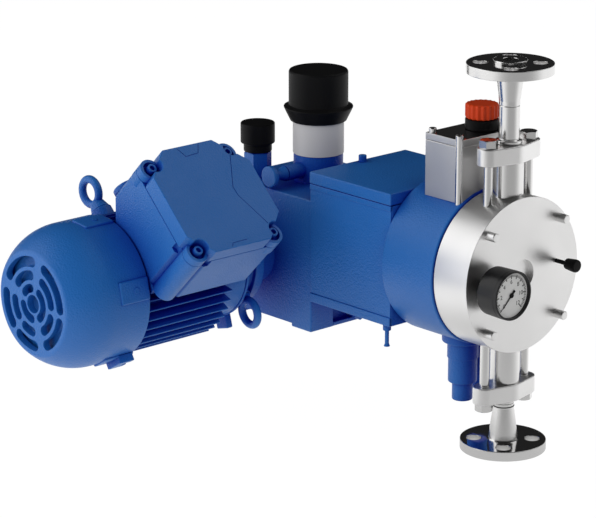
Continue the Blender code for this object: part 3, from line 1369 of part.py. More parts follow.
def terminal_box():
    """Box, lid and plug; in their own frame Z points out of the motor, Y along it and X down and forward."""
    lie = Matrix.Rotation(TERMINAL_TILT, 4, "Y")
    at = (MOTOR_X, TERMINAL_Y, MOTOR_Z)
    half_x, half_y = TERMINAL_WIDTH / 2, TERMINAL_LENGTH / 2
    column_x, column_y = half_x - COLUMN_SIDE_INSET, half_y - COLUMN_END_INSET
    spots = [Vector(at) + lie @ Vector((x * column_x, y * column_y, 0)) for x in (-1, 1) for y in (-1, 1)]
    tray_low = TERMINAL_SEAM - TERMINAL_DEPTH
    outline = octagon(TERMINAL_WIDTH, TERMINAL_LENGTH, TERMINAL_CORNER)
    body = prism("terminal_box", [outline], tray_low, TERMINAL_SEAM, at, lie, BLUE)
    neck_in = TERMINAL_CORNER / 2
    neck = block(
        "terminal_neck",
        (GAP - half_x, GAP - half_y, 0),
        (TERMINAL_NECK, half_y - neck_in, tray_low + LAP),
        turn=lie, at=at,
    )
    unite(body, neck)
    lid_low = TERMINAL_SEAM + GAP
    edge_top = lid_low + LID_EDGE
    lid = prism("terminal_lid", [outline], lid_low, edge_top, at, lie, BLUE)
    field = octagon(TERMINAL_WIDTH - 2 * LID_STEP, TERMINAL_LENGTH - 2 * LID_STEP, TERMINAL_CORNER, LID_BULGE)
    unite(lid, prism("lid_field", [field], lid_low + LID_EDGE / 2, edge_top + LID_RISE, at, lie))
    for spot in spots:
        column_low = TERMINAL_SEAM - COLUMN_LENGTH
        unite(body, rod("lid_column", COLUMN_R, column_low, TERMINAL_SEAM, spot, lie, sides=COLUMN_ROUND))
        unite(lid, rod("lid_ear", COLUMN_R, lid_low, edge_top - GAP, spot, lie, sides=COLUMN_ROUND))
    saddle_r = (FIN_TIP_R + GAP) / math.cos(math.pi / ROUND)
    saddle = rod(
        "frame_saddle", saddle_r, TERMINAL_Y - TERMINAL_LENGTH, TERMINAL_Y + TERMINAL_LENGTH, motor_at(), "Y",
        sides=ROUND,
    )
    room_outline = octagon(
        TERMINAL_WIDTH - 2 * TERMINAL_WALL, TERMINAL_LENGTH - 2 * TERMINAL_WALL, TERMINAL_CORNER
    )
    room_low = TERMINAL_SEAM - TERMINAL_ROOM
    room = prism("terminal_room", [room_outline], room_low, TERMINAL_SEAM + CLEAR, at, lie)
    cut(body, saddle, room)
    for spot in spots:
        pocket_low = edge_top - LID_POCKET_DEPTH
        pocket_top = edge_top + LID_RISE + CLEAR
        cut(lid, rod("screw_pocket", LID_POCKET_R, pocket_low, pocket_top, spot, lie, sides=COLUMN_ROUND))
    blank_turn = lie @ Matrix.Rotation(-math.pi / 2, 4, "Y")
    blank_at = Vector(at) + lie @ Vector((0, BLANK_INSET - half_y, BLANK_OUT))
    room_half = half_x - TERMINAL_WALL
    face = half_x + BLANK_PAD_RISE
    unite(body, rod("blank_pad", BLANK_R, room_half, face, blank_at, blank_turn, sides=COLUMN_ROUND))
    cut(body, rod("blank_hole", BLANK_THREAD_R + GAP, room_half - CLEAR, face + CLEAR, blank_at, blank_turn))
    blank = rod(
        "blanking_plug", BLANK_R, face + GAP, face + GAP + BLANK_RISE, blank_at, blank_turn, BLUE,
        sides=COLUMN_ROUND,
    )
    unite(blank, rod("blank_thread", BLANK_THREAD_R, room_half, face + BLANK_RISE / 2, blank_at, blank_turn))


gear_housing()
cover_and_plugs()
drive_train()
stroke_adjuster()
oil_filler()
adapter()
diaphragm_and_head()
check_valve("discharge", "Z", DISCHARGE_YOKE_REACH, DISCHARGE_FLANGE_REACH, DISCHARGE_NECK, True)
check_valve("suction", "-Z", SUCTION_YOKE_REACH, SUCTION_FLANGE_REACH, SUCTION_NECK, False)
reservoir()
gauge_and_vent()
motor_casing()
motor_inside()
fan_cowl()
terminal_box()
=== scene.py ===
# %% [markdown]
# # A diaphragm metering pump, dressed for its portrait
#
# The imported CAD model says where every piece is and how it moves. This lesson builds the looks around it:
# fine round surfaces, soft edges, paint, steel and plastic. Each step makes one group of pieces, ties them
# to the bodies that carry them and hides the coarse CAD pieces that they stand for.

# %% Load the CAD model
import math

import bmesh
import bpy
from mathutils import Matrix, Vector


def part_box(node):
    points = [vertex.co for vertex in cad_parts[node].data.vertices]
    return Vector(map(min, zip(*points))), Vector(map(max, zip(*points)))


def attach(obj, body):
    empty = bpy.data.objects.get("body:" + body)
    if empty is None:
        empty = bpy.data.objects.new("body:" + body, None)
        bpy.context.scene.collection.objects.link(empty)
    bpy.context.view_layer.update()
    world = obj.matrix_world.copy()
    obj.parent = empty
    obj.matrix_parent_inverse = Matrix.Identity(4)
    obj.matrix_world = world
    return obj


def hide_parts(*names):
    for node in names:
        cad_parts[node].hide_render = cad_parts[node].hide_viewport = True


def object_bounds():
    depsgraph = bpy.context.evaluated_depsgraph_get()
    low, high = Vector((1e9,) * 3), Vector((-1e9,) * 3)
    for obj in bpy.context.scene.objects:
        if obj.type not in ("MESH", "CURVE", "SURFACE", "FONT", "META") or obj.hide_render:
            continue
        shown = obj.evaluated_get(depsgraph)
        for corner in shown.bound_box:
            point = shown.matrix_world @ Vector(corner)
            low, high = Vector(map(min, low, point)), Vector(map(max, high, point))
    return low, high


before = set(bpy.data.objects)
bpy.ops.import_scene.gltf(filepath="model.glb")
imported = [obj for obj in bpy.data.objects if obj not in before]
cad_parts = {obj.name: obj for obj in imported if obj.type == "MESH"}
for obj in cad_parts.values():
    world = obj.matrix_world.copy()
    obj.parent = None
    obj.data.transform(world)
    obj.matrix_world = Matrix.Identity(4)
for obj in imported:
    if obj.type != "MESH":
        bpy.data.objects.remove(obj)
box_at_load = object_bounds()

# %% [markdown]
# ## The camera
#
# The view was found by fitting points of the model to the same points in the picture. A long lens far away
# keeps the upright edges nearly parallel, as they are there. A nearer camera with a shorter lens would
# spread them.

# %% The camera
scene = bpy.context.scene
scene.view_settings.view_transform = "Standard"

TURN_ROUND = math.radians(47.86)
LOOK_DOWN = math.radians(16.44)
DISTANCE = 3.22023
AIM = Vector((0.0336, -0.060, 0.07424))
FOCAL_PIXELS, PICTURE_PIXELS = 3020.1, 596
SENSOR_MM = 36

back = Vector((
    math.sin(TURN_ROUND) * math.cos(LOOK_DOWN),
    -math.cos(TURN_ROUND) * math.cos(LOOK_DOWN),
    math.sin(LOOK_DOWN),
))
lens = bpy.data.cameras.new("camera")
lens.sensor_fit = "HORIZONTAL"
lens.sensor_width = SENSOR_MM
lens.lens = FOCAL_PIXELS / PICTURE_PIXELS * SENSOR_MM
lens.clip_end = 100
camera = bpy.data.objects.new("camera", lens)
camera.location = AIM + back * DISTANCE
camera.rotation_euler = back.to_track_quat("Z", "Y").to_euler()
scene.collection.objects.link(camera)
scene.camera = camera
print("camera at", [round(value, 3) for value in camera.location])

# %% [markdown]
# ## White floor
#
# The pump stands as in a studio with a white sweep below it and a dark room above: steel that looks down or
# to the side mirrors the white floor, and steel that looks up mirrors the dark room. A stronger lamp would
# whiten the floor too, but it would bleach the paint as well. So the floor shows white to the camera and to
# mirrors through the light path, and no extra light falls on the paint. In front of the pump, out of the
# picture, the floor goes over to grey, which gives the round steel its darker middle.

# %% White floor
def new_material(name):
    material = bpy.data.materials.new(name)
    material.use_nodes = True
    material.node_tree.nodes.clear()
    return material, material.node_tree.nodes, material.node_tree.links


def math_node(nodes, links, operation, one, two=None):
    """A Math or Vector Math step; each input is a socket or a plain value."""
    vector = operation in ("NORMALIZE", "DOT_PRODUCT", "LENGTH")
    node = nodes.new("ShaderNodeVectorMath" if vector else "ShaderNodeMath")
    node.operation = operation
    for socket, value in zip(node.inputs, (one, two)):
        if isinstance(value, bpy.types.NodeSocket):
            links.new(value, socket)
        elif value is not None:
            socket.default_value = value
    return node.outputs["Value"] if operation in ("DOT_PRODUCT", "LENGTH") else node.outputs[0]


def value_range(nodes, links, value, start, end, low=0.0, high=1.0, kind="LINEAR"):
    """Maps a value from one range to another."""
    node = nodes.new("ShaderNodeMapRange")
    node.interpolation_type = kind
    for name, setting in (("From Min", start), ("From Max", end), ("To Min", low), ("To Max", high)):
        node.inputs[name].default_value = setting
    links.new(value, node.inputs["Value"])
    return node.outputs["Result"]


FLOOR_HALF, FLOOR_GAP = 40.0, 0.0005
floor_z = box_at_load[0][2] - FLOOR_GAP
floor_mesh = bpy.data.meshes.new("floor")
floor_mesh.from_pydata(
    [(x * FLOOR_HALF, y * FLOOR_HALF, floor_z) for x, y in ((-1, -1), (1, -1), (1, 1), (-1, 1))],
    [], [(0, 1, 2, 3)],
)
floor = bpy.data.objects.new("floor", floor_mesh)
scene.collection.objects.link(floor)
print("floor at", round(floor_z, 4))

# %% What the floor shows
GREY_TOWARDS = Vector((0.937, -0.351, 0))  # where the floor goes grey, seen from the pump
GREY_LEVEL, WHITE_LEVEL = 0.42, 1.06
CAMERA_SHARE, BOUNCE_SHARE = 0.93, 0.75  # what is left shows the lamps' light and the shadow

material, nodes, links = new_material("floor_white")
lit = nodes.new("ShaderNodeBsdfDiffuse")
lit.inputs["Color"].default_value = (0.9, 0.9, 0.9, 1)
glow = nodes.new("ShaderNodeEmission")
glow.inputs["Color"].default_value = (1, 1, 1, 1)
where = nodes.new("ShaderNodeTexCoord").outputs["Object"]
heading = math_node(nodes, links, "DOT_PRODUCT", math_node(nodes, links, "NORMALIZE", where), GREY_TOWARDS)
distance = math_node(nodes, links, "LENGTH", where)
greyness = math_node(
    nodes, links, "MULTIPLY", value_range(nodes, links, heading, 0.4, 1.0, kind="SMOOTHSTEP"),
    value_range(nodes, links, distance, 0.0, 1.2, 0.65, 1.0),
)
path = nodes.new("ShaderNodeLightPath").outputs
to_camera = value_range(nodes, links, path["Is Camera Ray"], 0, 1, 0.0, WHITE_LEVEL)
around = value_range(nodes, links, greyness, 0, 1, 1.0, GREY_LEVEL)
links.new(math_node(nodes, links, "MAXIMUM", to_camera, around), glow.inputs["Strength"])
seen = math_node(nodes, links, "MAXIMUM", path["Is Glossy Ray"], path["Is Transmission Ray"])
for ray, share in (("Is Camera Ray", CAMERA_SHARE), ("Is Diffuse Ray", BOUNCE_SHARE)):
    seen = math_node(nodes, links, "MAXIMUM", seen, value_range(nodes, links, path[ray], 0, 1, 0, share))
both = nodes.new("ShaderNodeMixShader")
links.new(seen, both.inputs["Fac"])
links.new(lit.outputs[0], both.inputs[1])
links.new(glow.outputs[0], both.inputs[2])
out = nodes.new("ShaderNodeOutputMaterial")
links.new(both.outputs[0], out.inputs["Surface"])
material.cycles.emission_sampling = "NONE"
floor_mesh.materials.append(material)
print("floor nodes:", len(nodes))

# %% [markdown]
# ## Dark room and soft lamps
#
# A dark world keeps the mirrors in the steel's upper faces dark. Four large lamps light the pump softly.
# Small lamps would do it too, with hard shadows and hot spots. Mirrors show only the large lamp on the left
# and the one behind, so no bright patches sit on the paint.

# %% Dark room and soft lamps
world = bpy.data.worlds.new("room")
world.use_nodes = True
world.node_tree.nodes["Background"].inputs["Color"].default_value = (0.018, 0.0178, 0.0178, 1)
scene.world = world


def soft_lamp(name, place, size, watts, mirrored=False):
    data = bpy.data.lights.new(name, "AREA")
    data.size = size
    data.energy = watts
    lamp = bpy.data.objects.new(name, data)
    lamp.location = place
    lamp.rotation_euler = (Vector(place) - AIM).to_track_quat("Z", "Y").to_euler()
    lamp.visible_glossy = mirrored
    scene.collection.objects.link(lamp)


soft_lamp("lamp_left", (-2.2, -2.4, 1.7), 4.0, 60, mirrored=True)
soft_lamp("lamp_front", (0.4, -3.2, 1.1), 3.0, 42)
soft_lamp("lamp_right", (2.4, -0.4, 1.7), 2.0, 19)
soft_lamp("lamp_behind", (0.9, 1.9, 2.2), 2.4, 17, mirrored=True)
print("lamps:", len(bpy.data.lights))

# %% [markdown]
# ## Finishes
#
# Each finish is a plain surface with a little life in it: a fine grain in the height, so that the paint
# shows its orange peel, and a slow change of the gloss. The blue paint also carries painted shade: where an
# Ambient Occlusion node finds narrow gaps and inside corners, its colour goes over to a deeper blue and its
# shine drops, as if shade fell there. Painted images could do all this, but they blur close up.

# %% A surface of one colour
GLOSS_PATCHES = 28.0  # a metre
GRAIN_HEIGHT = 0.0006
# Painted shade: how far the occlusion looks, where the shade fades out, and the shine left in full shade.
GAP_REACH, GAP_CLOSED, GAP_OPEN, PAINTED_SHADE_SHINE = 0.07, 0.25, 0.95, 0.1


def noise(nodes, links, where, scale):
    node = nodes.new("ShaderNodeTexNoise")
    node.inputs["Scale"].default_value = scale
    links.new(where, node.inputs["Vector"])
    return node


def finish(name, colour, roughness, metallic=0.0, grain=0.0, grain_size=0.0015, spread=0.06, shine=0.5,
           slot=None, painted_shade=None):
    """A surface of one colour; painted shade takes the gaps and inside corners when its colour is given."""
    material, nodes, links = new_material(name)
    material["slot"] = slot or name
    surface = nodes.new("ShaderNodeBsdfPrincipled")
    surface.inputs["Base Color"].default_value = (*colour, 1)
    surface.inputs["Metallic"].default_value = metallic
    surface.inputs["Specular IOR Level"].default_value = shine
    where = nodes.new("ShaderNodeTexCoord").outputs["Object"]
    slow = noise(nodes, links, where, GLOSS_PATCHES).outputs["Fac"]
    gloss = value_range(nodes, links, slow, 0, 1, roughness - spread, roughness + spread)
    links.new(gloss, surface.inputs["Roughness"])
    # Painted shade: in gaps and inside corners the colour goes over to the shade colour and the shine drops.
    if painted_shade:
        gaps = nodes.new("ShaderNodeAmbientOcclusion")
        gaps.inputs["Distance"].default_value = GAP_REACH
        openness = value_range(nodes, links, gaps.outputs["AO"], GAP_CLOSED, GAP_OPEN)
        shine_in_shade = value_range(nodes, links, openness, 0, 1, PAINTED_SHADE_SHINE, shine)
        links.new(shine_in_shade, surface.inputs["Specular IOR Level"])
        shade_mix = nodes.new("ShaderNodeMix")
        shade_mix.data_type = "RGBA"
        links.new(openness, shade_mix.inputs[0])
        shade_mix.inputs[6].default_value = (*painted_shade, 1)
        shade_mix.inputs[7].default_value = (*colour, 1)
        links.new(shade_mix.outputs[2], surface.inputs["Base Color"])
    if grain:
        fine = noise(nodes, links, where, 1 / grain_size)
        fine.inputs["Detail"].default_value = 1.0
        bump = nodes.new("ShaderNodeBump")
        bump.inputs["Strength"].default_value = grain
        bump.inputs["Distance"].default_value = GRAIN_HEIGHT
        links.new(fine.outputs["Fac"], bump.inputs["Height"])
        links.new(bump.outputs["Normal"], surface.inputs["Normal"])
    out = nodes.new("ShaderNodeOutputMaterial")
    links.new(surface.outputs[0], out.inputs["Surface"])
    return material


# %% The finishes
PAINT = {"colour": (0.014, 0.146, 0.50), "roughness": 0.44, "grain": 1.0, "grain_size": 0.0019}
# The deeper blue here is painted shade for gaps and inside corners.
BLUE = finish("blue_paint", **PAINT, painted_shade=(0.003, 0.015, 0.34))
GRILLE = finish("grille_paint", **PAINT, slot="blue_paint")
STEEL = finish("stainless_steel", (0.80, 0.795, 0.79), 0.20, 1.0, grain=0.02, spread=0.03)
SATIN = finish(
    "satin_steel", (0.91, 0.905, 0.90), 0.37, 1.0, grain=0.05, grain_size=0.0008, slot="stainless_steel"
)
BRUSHED = finish(
    "brushed_steel", (0.69, 0.685, 0.685), 0.44, 1.0, grain=0.04, grain_size=0.0008, slot="stainless_steel"
)
MIRROR = finish("polished_steel", (0.72, 0.715, 0.71), 0.07, 1.0, spread=0.02, slot="stainless_steel")
HARD = finish("hardened_steel", (0.35, 0.35, 0.36), 0.30, 1.0)
BRONZE = finish("gear_bronze", (0.60, 0.38, 0.16), 0.32, 1.0)
CORE = finish("core_laminations", (0.20, 0.20, 0.21), 0.45, 1.0, grain=0.1, grain_size=0.0006)
BLACK = finish("black_plastic", (0.006, 0.006, 0.0065), 0.5, grain=0.06, grain_size=0.0007, shine=0.12)
GREY = finish("grey_plastic", (0.66, 0.65, 0.645), 0.45, grain=0.03, shine=0.3)
ORANGE = finish("orange_plastic", (0.70, 0.060, 0.012), 0.36, grain=0.03, shine=0.2)
GLOSSY = finish("gauge_black", (0.008, 0.008, 0.009), 0.30, shine=0.4, slot="black_plastic")
SHEET = finish("diaphragm_sheet", (0.012, 0.013, 0.016), 0.5)
DIAL = finish("dial_white", (0.80, 0.80, 0.79), 0.45)
print("finishes:", len(bpy.data.materials) - 1)

# %% [markdown]
# ## The pump head: a turned disc
#
# Round pieces are turned: a loop of radius and height points goes round an axis. The corners of the loop
# are rounded first, because a machined edge is never perfectly sharp and its thin highlight is what the eye
# reads. A cylinder with a Bevel modifier would do for the disc, but not for the stepped pieces further on.

# %% Turning
TURN = {
    "Z": Matrix(),
    "X": Matrix.Rotation(math.pi / 2, 4, "Y"),
    "Y": Matrix.Rotation(-math.pi / 2, 4, "X"),
    "-Z": Matrix.Rotation(math.pi, 4, "X"),
}
FIT = 0.0003  # room between neighbours


def put(x, y, z, axis="Z"):
    """Puts a shape's origin there, with its own Z axis along the named one."""
    return Matrix.Translation((x, y, z)) @ TURN[axis]


def round_corner(start, corner, end, steps):
    """Points on a smooth curve from start to end, drawn towards the corner."""
    times = [k / steps for k in range(steps + 1)]
    return [tuple(start * (1 - t) ** 2 + corner * 2 * t * (1 - t) + end * t**2) for t in times]


def rounded(points, reach):
    """The same closed loop with its corners rounded, except on the axis."""
    loop = []
    for i, corner in enumerate(points):
        here, before, after = (Vector(points[k % len(points)]) for k in (i, i - 1, i + 1))
        if corner[0] < 1e-6:
            loop.append(tuple(corner))
            continue
        cut = min(reach, 0.45 * (before - here).length, 0.45 * (after - here).length)
        start = here + (before - here).normalized() * cut
        end = here + (after - here).normalized() * cut
        loop += round_corner(start, here, end, 3)
    return loop


def as_piece(name, shape, place):
    bmesh.ops.remove_doubles(shape, verts=shape.verts, dist=1e-6)
    bmesh.ops.recalc_face_normals(shape, faces=shape.faces)
    mesh = bpy.data.meshes.new(name)
    shape.to_mesh(mesh)
    shape.free()
    mesh.transform(place)
    piece = bpy.data.objects.new(name, mesh)
    scene.collection.objects.link(piece)
    return piece


def turned(name, profile, place, soft=0.0008, steps=96):
    """A closed loop of (radius, height) points swept round the shape's own Z axis."""
    loop = rounded(profile, soft) if soft else profile
    shape = bmesh.new()
    rings = []
    for radius, height in loop:
        count = steps if radius > 1e-6 else 1
        angles = [2 * math.pi * i / steps for i in range(count)]
        rings.append([shape.verts.new((radius * math.cos(a), radius * math.sin(a), height)) for a in angles])
    for one, two in zip(rings, rings[1:] + rings[:1]):
        if len(one) == len(two) == 1:
            continue
        for i in range(steps):
            k = (i + 1) % steps
            corners = (one[i % len(one)], one[k % len(one)], two[k % len(two)], two[i % len(two)])
            shape.faces.new(dict.fromkeys(corners))
    return as_piece(name, shape, place)


def stepped(start, *steps):
    """The loop of a stepped round bar; each step gives its radius and where it ends."""
    loop = [(0, start)]
    for radius, end in steps:
        loop += [(radius, start), (radius, end)]
        start = end
    return [*loop, (0, start)]


def bar(radius, start, end):
    """The loop of a plain round bar."""
    return stepped(start, (radius, end))


def tube(radius, bore, start, end):
    """The loop of a plain round tube."""
    return [(radius, start), (radius, end), (bore, end), (bore, start)]


# %% Showing a piece, and the head
SHARP_ANGLE = math.radians(38)


def show(piece, coat, body, *nodes):
    """Gives a piece its finish, ties it to its body and hides the CAD pieces it stands for."""
    piece.data.materials.clear()
    piece.data.materials.append(coat)
    piece.data.shade_smooth()
    piece.data.set_sharp_from_angle(angle=SHARP_ANGLE)
    even = piece.modifiers.new("even_shading", "WEIGHTED_NORMAL")
    even.keep_sharp = True
    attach(piece, body)
    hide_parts(*nodes)
    print(piece.name, "faces:", len(piece.data.polygons))
    return piece


def middle(node):
    low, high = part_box(node)
    return (low + high) / 2


BASE = "pump_frame"
head_low, head_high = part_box("pump_head")
AXIS_Z = middle("pump_head").z
HEAD_AXIS = put(0, 0, AXIS_Z, "X")
HEAD_R = (head_high.z - head_low.z) / 2
FACE_X = head_high.x
VALVE_X = (head_low.x + head_high.x) / 2
POCKET_R, POCKET_DEPTH = 0.016, 0.006

head_loop = stepped(FACE_X - POCKET_DEPTH, (POCKET_R, FACE_X), (HEAD_R, head_low.x))
head = turned("head_disc", head_loop, HEAD_AXIS, 0.0003, 192)
show(head, SATIN, BASE, "pump_head")

# %% [markdown]
# ## Bolts of the head, diaphragm and adapter
#
# The four head bolts are plain studs with a small chamfer. Behind the head the diaphragm's edge shows as a
# dark line, and then comes the painted drum that joins the head to the gear box, with two small valves
# under it. Cylinders with a Bevel modifier would do for the studs too, but turning them rounds their ends
# in the same way as the head's rim.

# %% Studs and diaphragm
for number in range(1, 5):
    low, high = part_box(f"head_bolt_{number}")
    stud = turned(
        f"head_stud_{number}", bar((high.z - low.z) / 2, high.x, low.x),
        put(0, (low.y + high.y) / 2, (low.z + high.z) / 2, "X"), 0.0009, 48,
    )
    show(stud, SATIN, BASE, f"head_bolt_{number}")

EDGE_SET_BACK = 0.0018
low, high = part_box("diaphragm")
membrane = turned(
    "diaphragm_disc", bar((high.z - low.z) / 2 - EDGE_SET_BACK, high.x, low.x), HEAD_AXIS, 0.0004, 192
)
show(membrane, SHEET, BASE, "diaphragm")

# %% Adapter drum and its valves
DRUM_BORE, BOSS_R = 0.030, 0.022
VALVE_STEPS = ((0.0163, 0.0177), (0.0152, 0.0263), (0.0108, 0.0196))  # radius and length
low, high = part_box("drive_adapter")
DRUM_R = high.z - AXIS_Z
boss_low = low.z
drum = turned("adapter_drum", tube(DRUM_R, DRUM_BORE, high.x + 0.0006, low.x), HEAD_AXIS, 0.0022, 192)


def merge(piece, *others):
    """Adds other pieces' surfaces to a piece, as parts of one casting."""
    shape = bmesh.new()
    for source in (piece, *others):
        shape.from_mesh(source.data)
    shape.to_mesh(piece.data)
    shape.free()
    for other in others:
        bpy.data.objects.remove(other)
    return piece


for name in ("relief_valve", "refill_valve"):
    spot = middle(name)
    stand = put(spot.x, spot.y, 0)
    skin = AXIS_Z - math.sqrt(DRUM_R**2 - spot.y**2)
    merge(drum, turned(name + "_boss", bar(BOSS_R, skin + 0.01, boss_low), stand, 0.0016))
    height = boss_low
    steps = []
    for radius, length in VALVE_STEPS:
        height -= length
        steps.append((radius, height))
    show(turned(name + "_body", stepped(skin + 0.004, *steps), stand, 0.0012), BLUE, BASE, name)
show(drum, BLUE, BASE, "drive_adapter")

# %% [markdown]
# ## Check valves
#
# On both sides of the head a valve body is held by a yoke and two long bolts. Flat pieces with round
# outlines are cut from a filled curve, whose bevel rounds every edge, the holes' too. A prism with drilled
# holes would need a bevel after the cuts, which fails on crumbs. The hexagons are cut by a cone, as a real
# bolt head is, and that leaves the bright arcs round its top.

# %% Plates, Booleans and hexagons
def arc(radius, count, centre=(0, 0), start=0.0, sweep=2 * math.pi):
    """Points on an arc; a full circle doesn't repeat its first point."""
    last = count if abs(abs(sweep) - 2 * math.pi) < 1e-9 else count - 1
    angles = [start + sweep * i / last for i in range(count)]
    return [(centre[0] + radius * math.cos(a), centre[1] + radius * math.sin(a)) for a in angles]


def mesh_of(maker):
    """The mesh that a curve or an object with modifiers comes to."""
    return bpy.data.meshes.new_from_object(maker.evaluated_get(bpy.context.evaluated_depsgraph_get()))


def plate(name, outlines, low, high, place, soft=0.0008):
    """A flat piece with a round outline: the first outline is its edge and the others are holes."""
    curve = bpy.data.curves.new(name, "CURVE")
    curve.dimensions = "2D"
    curve.fill_mode = "BOTH"
    curve.extrude = (high - low) / 2 - soft
    curve.bevel_depth = soft
    curve.bevel_resolution = 2
    curve.offset = -soft
    for outline in outlines:
        spline = curve.splines.new("POLY")
        spline.points.add(len(outline) - 1)
        spline.use_cyclic_u = True
        for point, (x, y) in zip(spline.points, outline):
            point.co = (x, y, 0, 1)
    maker = bpy.data.objects.new(name, curve)
    scene.collection.objects.link(maker)
    shape = bmesh.new()
    shape.from_mesh(mesh_of(maker))
    bpy.data.objects.remove(maker)
    return as_piece(name, shape, place @ Matrix.Translation((0, 0, (low + high) / 2)))


def combine(piece, operation, *others):
    """Boolean steps, one after the other, each on a clean mesh; the other pieces are used up."""
    for other in others:
        step = piece.modifiers.new("step", "BOOLEAN")
        step.operation = operation
        step.solver = "EXACT"
        step.object = other
        mesh = mesh_of(piece)
        piece.modifiers.clear()
        piece.data = mesh
        bpy.data.objects.remove(other)
        shape = bmesh.new()
        shape.from_mesh(mesh)
        bmesh.ops.remove_doubles(shape, verts=shape.verts, dist=2e-6)
        bmesh.ops.holes_fill(shape, edges=[edge for edge in shape.edges if edge.is_boundary])
        shape.to_mesh(mesh)
        shape.free()
    return piece


def hexagon(name, across, low, high, place, both=False):
    """A hexagon bar whose top corners, or those at both ends, are turned off by a cone."""
    radius = across / math.sqrt(3)
    wide = radius + 0.002
    ring = across / 2 - 0.0001
    slope = (radius - ring + 0.0004) * 0.55 + 0.0011
    block = turned(name, bar(radius, high + 0.001, low - 0.001 if both else low), place, 0, 6)
    foot = [(wide, low + slope), (ring, low), (0, low)] if both else [(wide, low - 0.002), (0, low - 0.002)]
    cone = turned("cone", [(0, high), (ring, high), (wide, high - slope), *foot], place, 0, 96)
    return combine(block, "INTERSECT", cone)


# %% Yokes and their bolts
YOKE_BOLT_R, YOKE_MIDDLE_R, YOKE_END_R = 0.005, 0.0185, 0.0118
BOLT_HEX = 0.017
PIPE_R, PIPE_BORE = 0.0107, 0.0079
OUTWARD = {"discharge": "Z", "suction": "-Z"}


def reach(kind, piece):
    """How near and how far a CAD piece of a valve lies from the head's axis."""
    low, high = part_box(f"{kind}_{piece}")
    sign = 1 if OUTWARD[kind] == "Z" else -1
    return sorted((sign * (low.z - AXIS_Z), sign * (high.z - AXIS_Z)))


def make_yoke(kind):
    near, far = reach(kind, "yoke")
    spread = abs(middle(f"{kind}_bolt_far").y)
    lean = math.asin((YOKE_MIDDLE_R - YOKE_END_R) / spread)
    outline = []
    for facing, side in ((0, 1), (math.pi, -1)):
        outline += arc(YOKE_END_R, 24, (0, side * spread), facing + lean, math.pi - 2 * lean)
        outline += arc(YOKE_MIDDLE_R, 9, (0, 0), facing + math.pi - lean, 2 * lean)
    holes = [arc(PIPE_R, 64)] + [arc(YOKE_BOLT_R, 32, (0, side * spread)) for side in (-1, 1)]
    place = put(VALVE_X, 0, AXIS_Z, OUTWARD[kind])
    show(plate(f"{kind}_bridge", [outline, *holes], near, far, place, 0.0011), SATIN, BASE, f"{kind}_yoke")
    for spot, side in (("bolt_near", -1), ("bolt_far", 1)):
        low, high = reach(kind, spot)
        stand = put(VALVE_X, side * spread, AXIS_Z, OUTWARD[kind])
        bolt = hexagon(f"{kind}_{spot}_head", BOLT_HEX, far + FIT, high, stand)
        merge(bolt, turned("shank", bar(YOKE_BOLT_R, far + 0.002, low), stand, 0.0006, 48))
        show(bolt, STEEL, BASE, f"{kind}_{spot}")


# %% Valve bodies and pipe flanges
FLARE = ((0, 0.0052), (0.0012, 0.0045), (0.0029, 0.0040), (0.0029, 0.0003))  # out and up
FACE_RIM_R, FACE_RISE, FLANGE_THICK = 0.01745, 0.0035, 0.0101
HOLE_R, HOLE_CIRCLE = 0.0079, 0.03015
NECKS = {"discharge": (0.0142, 0.0287), "suction": (0.0152, 0.0352)}  # radius and length
BALL_ROOM = 0.0008


def polish_tops(piece):
    """Flat faces that look up were ground last, and they shine like a mirror."""
    piece.data.materials.append(MIRROR)
    for face in piece.data.polygons:
        face.material_index = 1 if face.normal.z > 0.9 else 0


def make_body(kind, place):
    low, high = reach(kind, "valve")
    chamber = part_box(f"{kind}_ball")[1].y + BALL_ROOM
    body_loop = tube(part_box(f"{kind}_valve")[1].y, chamber, high, low)
    show(turned(f"{kind}_valve_body", body_loop, place, 0.0008), STEEL, BASE, f"{kind}_valve")


def make_flange(kind, place):
    far = reach(kind, "yoke")[1]
    low, high = reach(kind, "flange")
    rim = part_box(f"{kind}_flange")[1].y
    top = high - FACE_RISE
    under = top - FLANGE_THICK
    neck_r, neck_length = NECKS[kind]
    start = under - neck_length
    flare = [(PIPE_R + out_by, far + up) for out_by, up in FLARE] + [(PIPE_R, far + FIT)]
    stub = turned(
        f"{kind}_stub",
        [(FACE_RIM_R, high), (FACE_RIM_R, top - 0.002), (neck_r + 0.0016, top - 0.002),
         (neck_r + 0.0016, under + 0.002), (neck_r + 0.0004, under - 0.0012),
         (neck_r - 0.0004, under - 0.006), (PIPE_R, start), (PIPE_R, start - 0.004),
         (PIPE_R - 0.0004, start - 0.0045), (PIPE_R, start - 0.005),
         *(flare if kind == "discharge" else []), (PIPE_R, low), (PIPE_BORE, low), (PIPE_BORE, high)],
        place, 0.0009,
    )
    holes = [arc(HOLE_R, 48, centre) for centre in arc(HOLE_CIRCLE, 4, start=math.pi / 4)]
    merge(stub, plate("ring", [arc(rim, 192), arc(neck_r - 0.001, 64), *holes], under, top, place, 0.0006))
    show(stub, STEEL, BASE, f"{kind}_flange")
    polish_tops(stub)
    if kind == "suction":
        seal_loop = tube(PIPE_R + 0.0005, PIPE_R, start - 0.0005, start - 0.0015)
        show(turned("neck_seal", seal_loop, place, 0.0004), BLACK, BASE)


for kind in OUTWARD:
    place = put(VALVE_X, 0, AXIS_Z, OUTWARD[kind])
    make_yoke(kind)
    make_body(kind, place)
    make_flange(kind, place)

# %% [markdown]
# ## Pressure gauge and vent
#
# The gauge's case is turned with a thin bezel. Its scale is drawn as thin raised shapes and plain figures,
# and the pointer is a plate on the moving needle body. Figures could be an image, but letters made of
# outlines stay sharp at any distance.

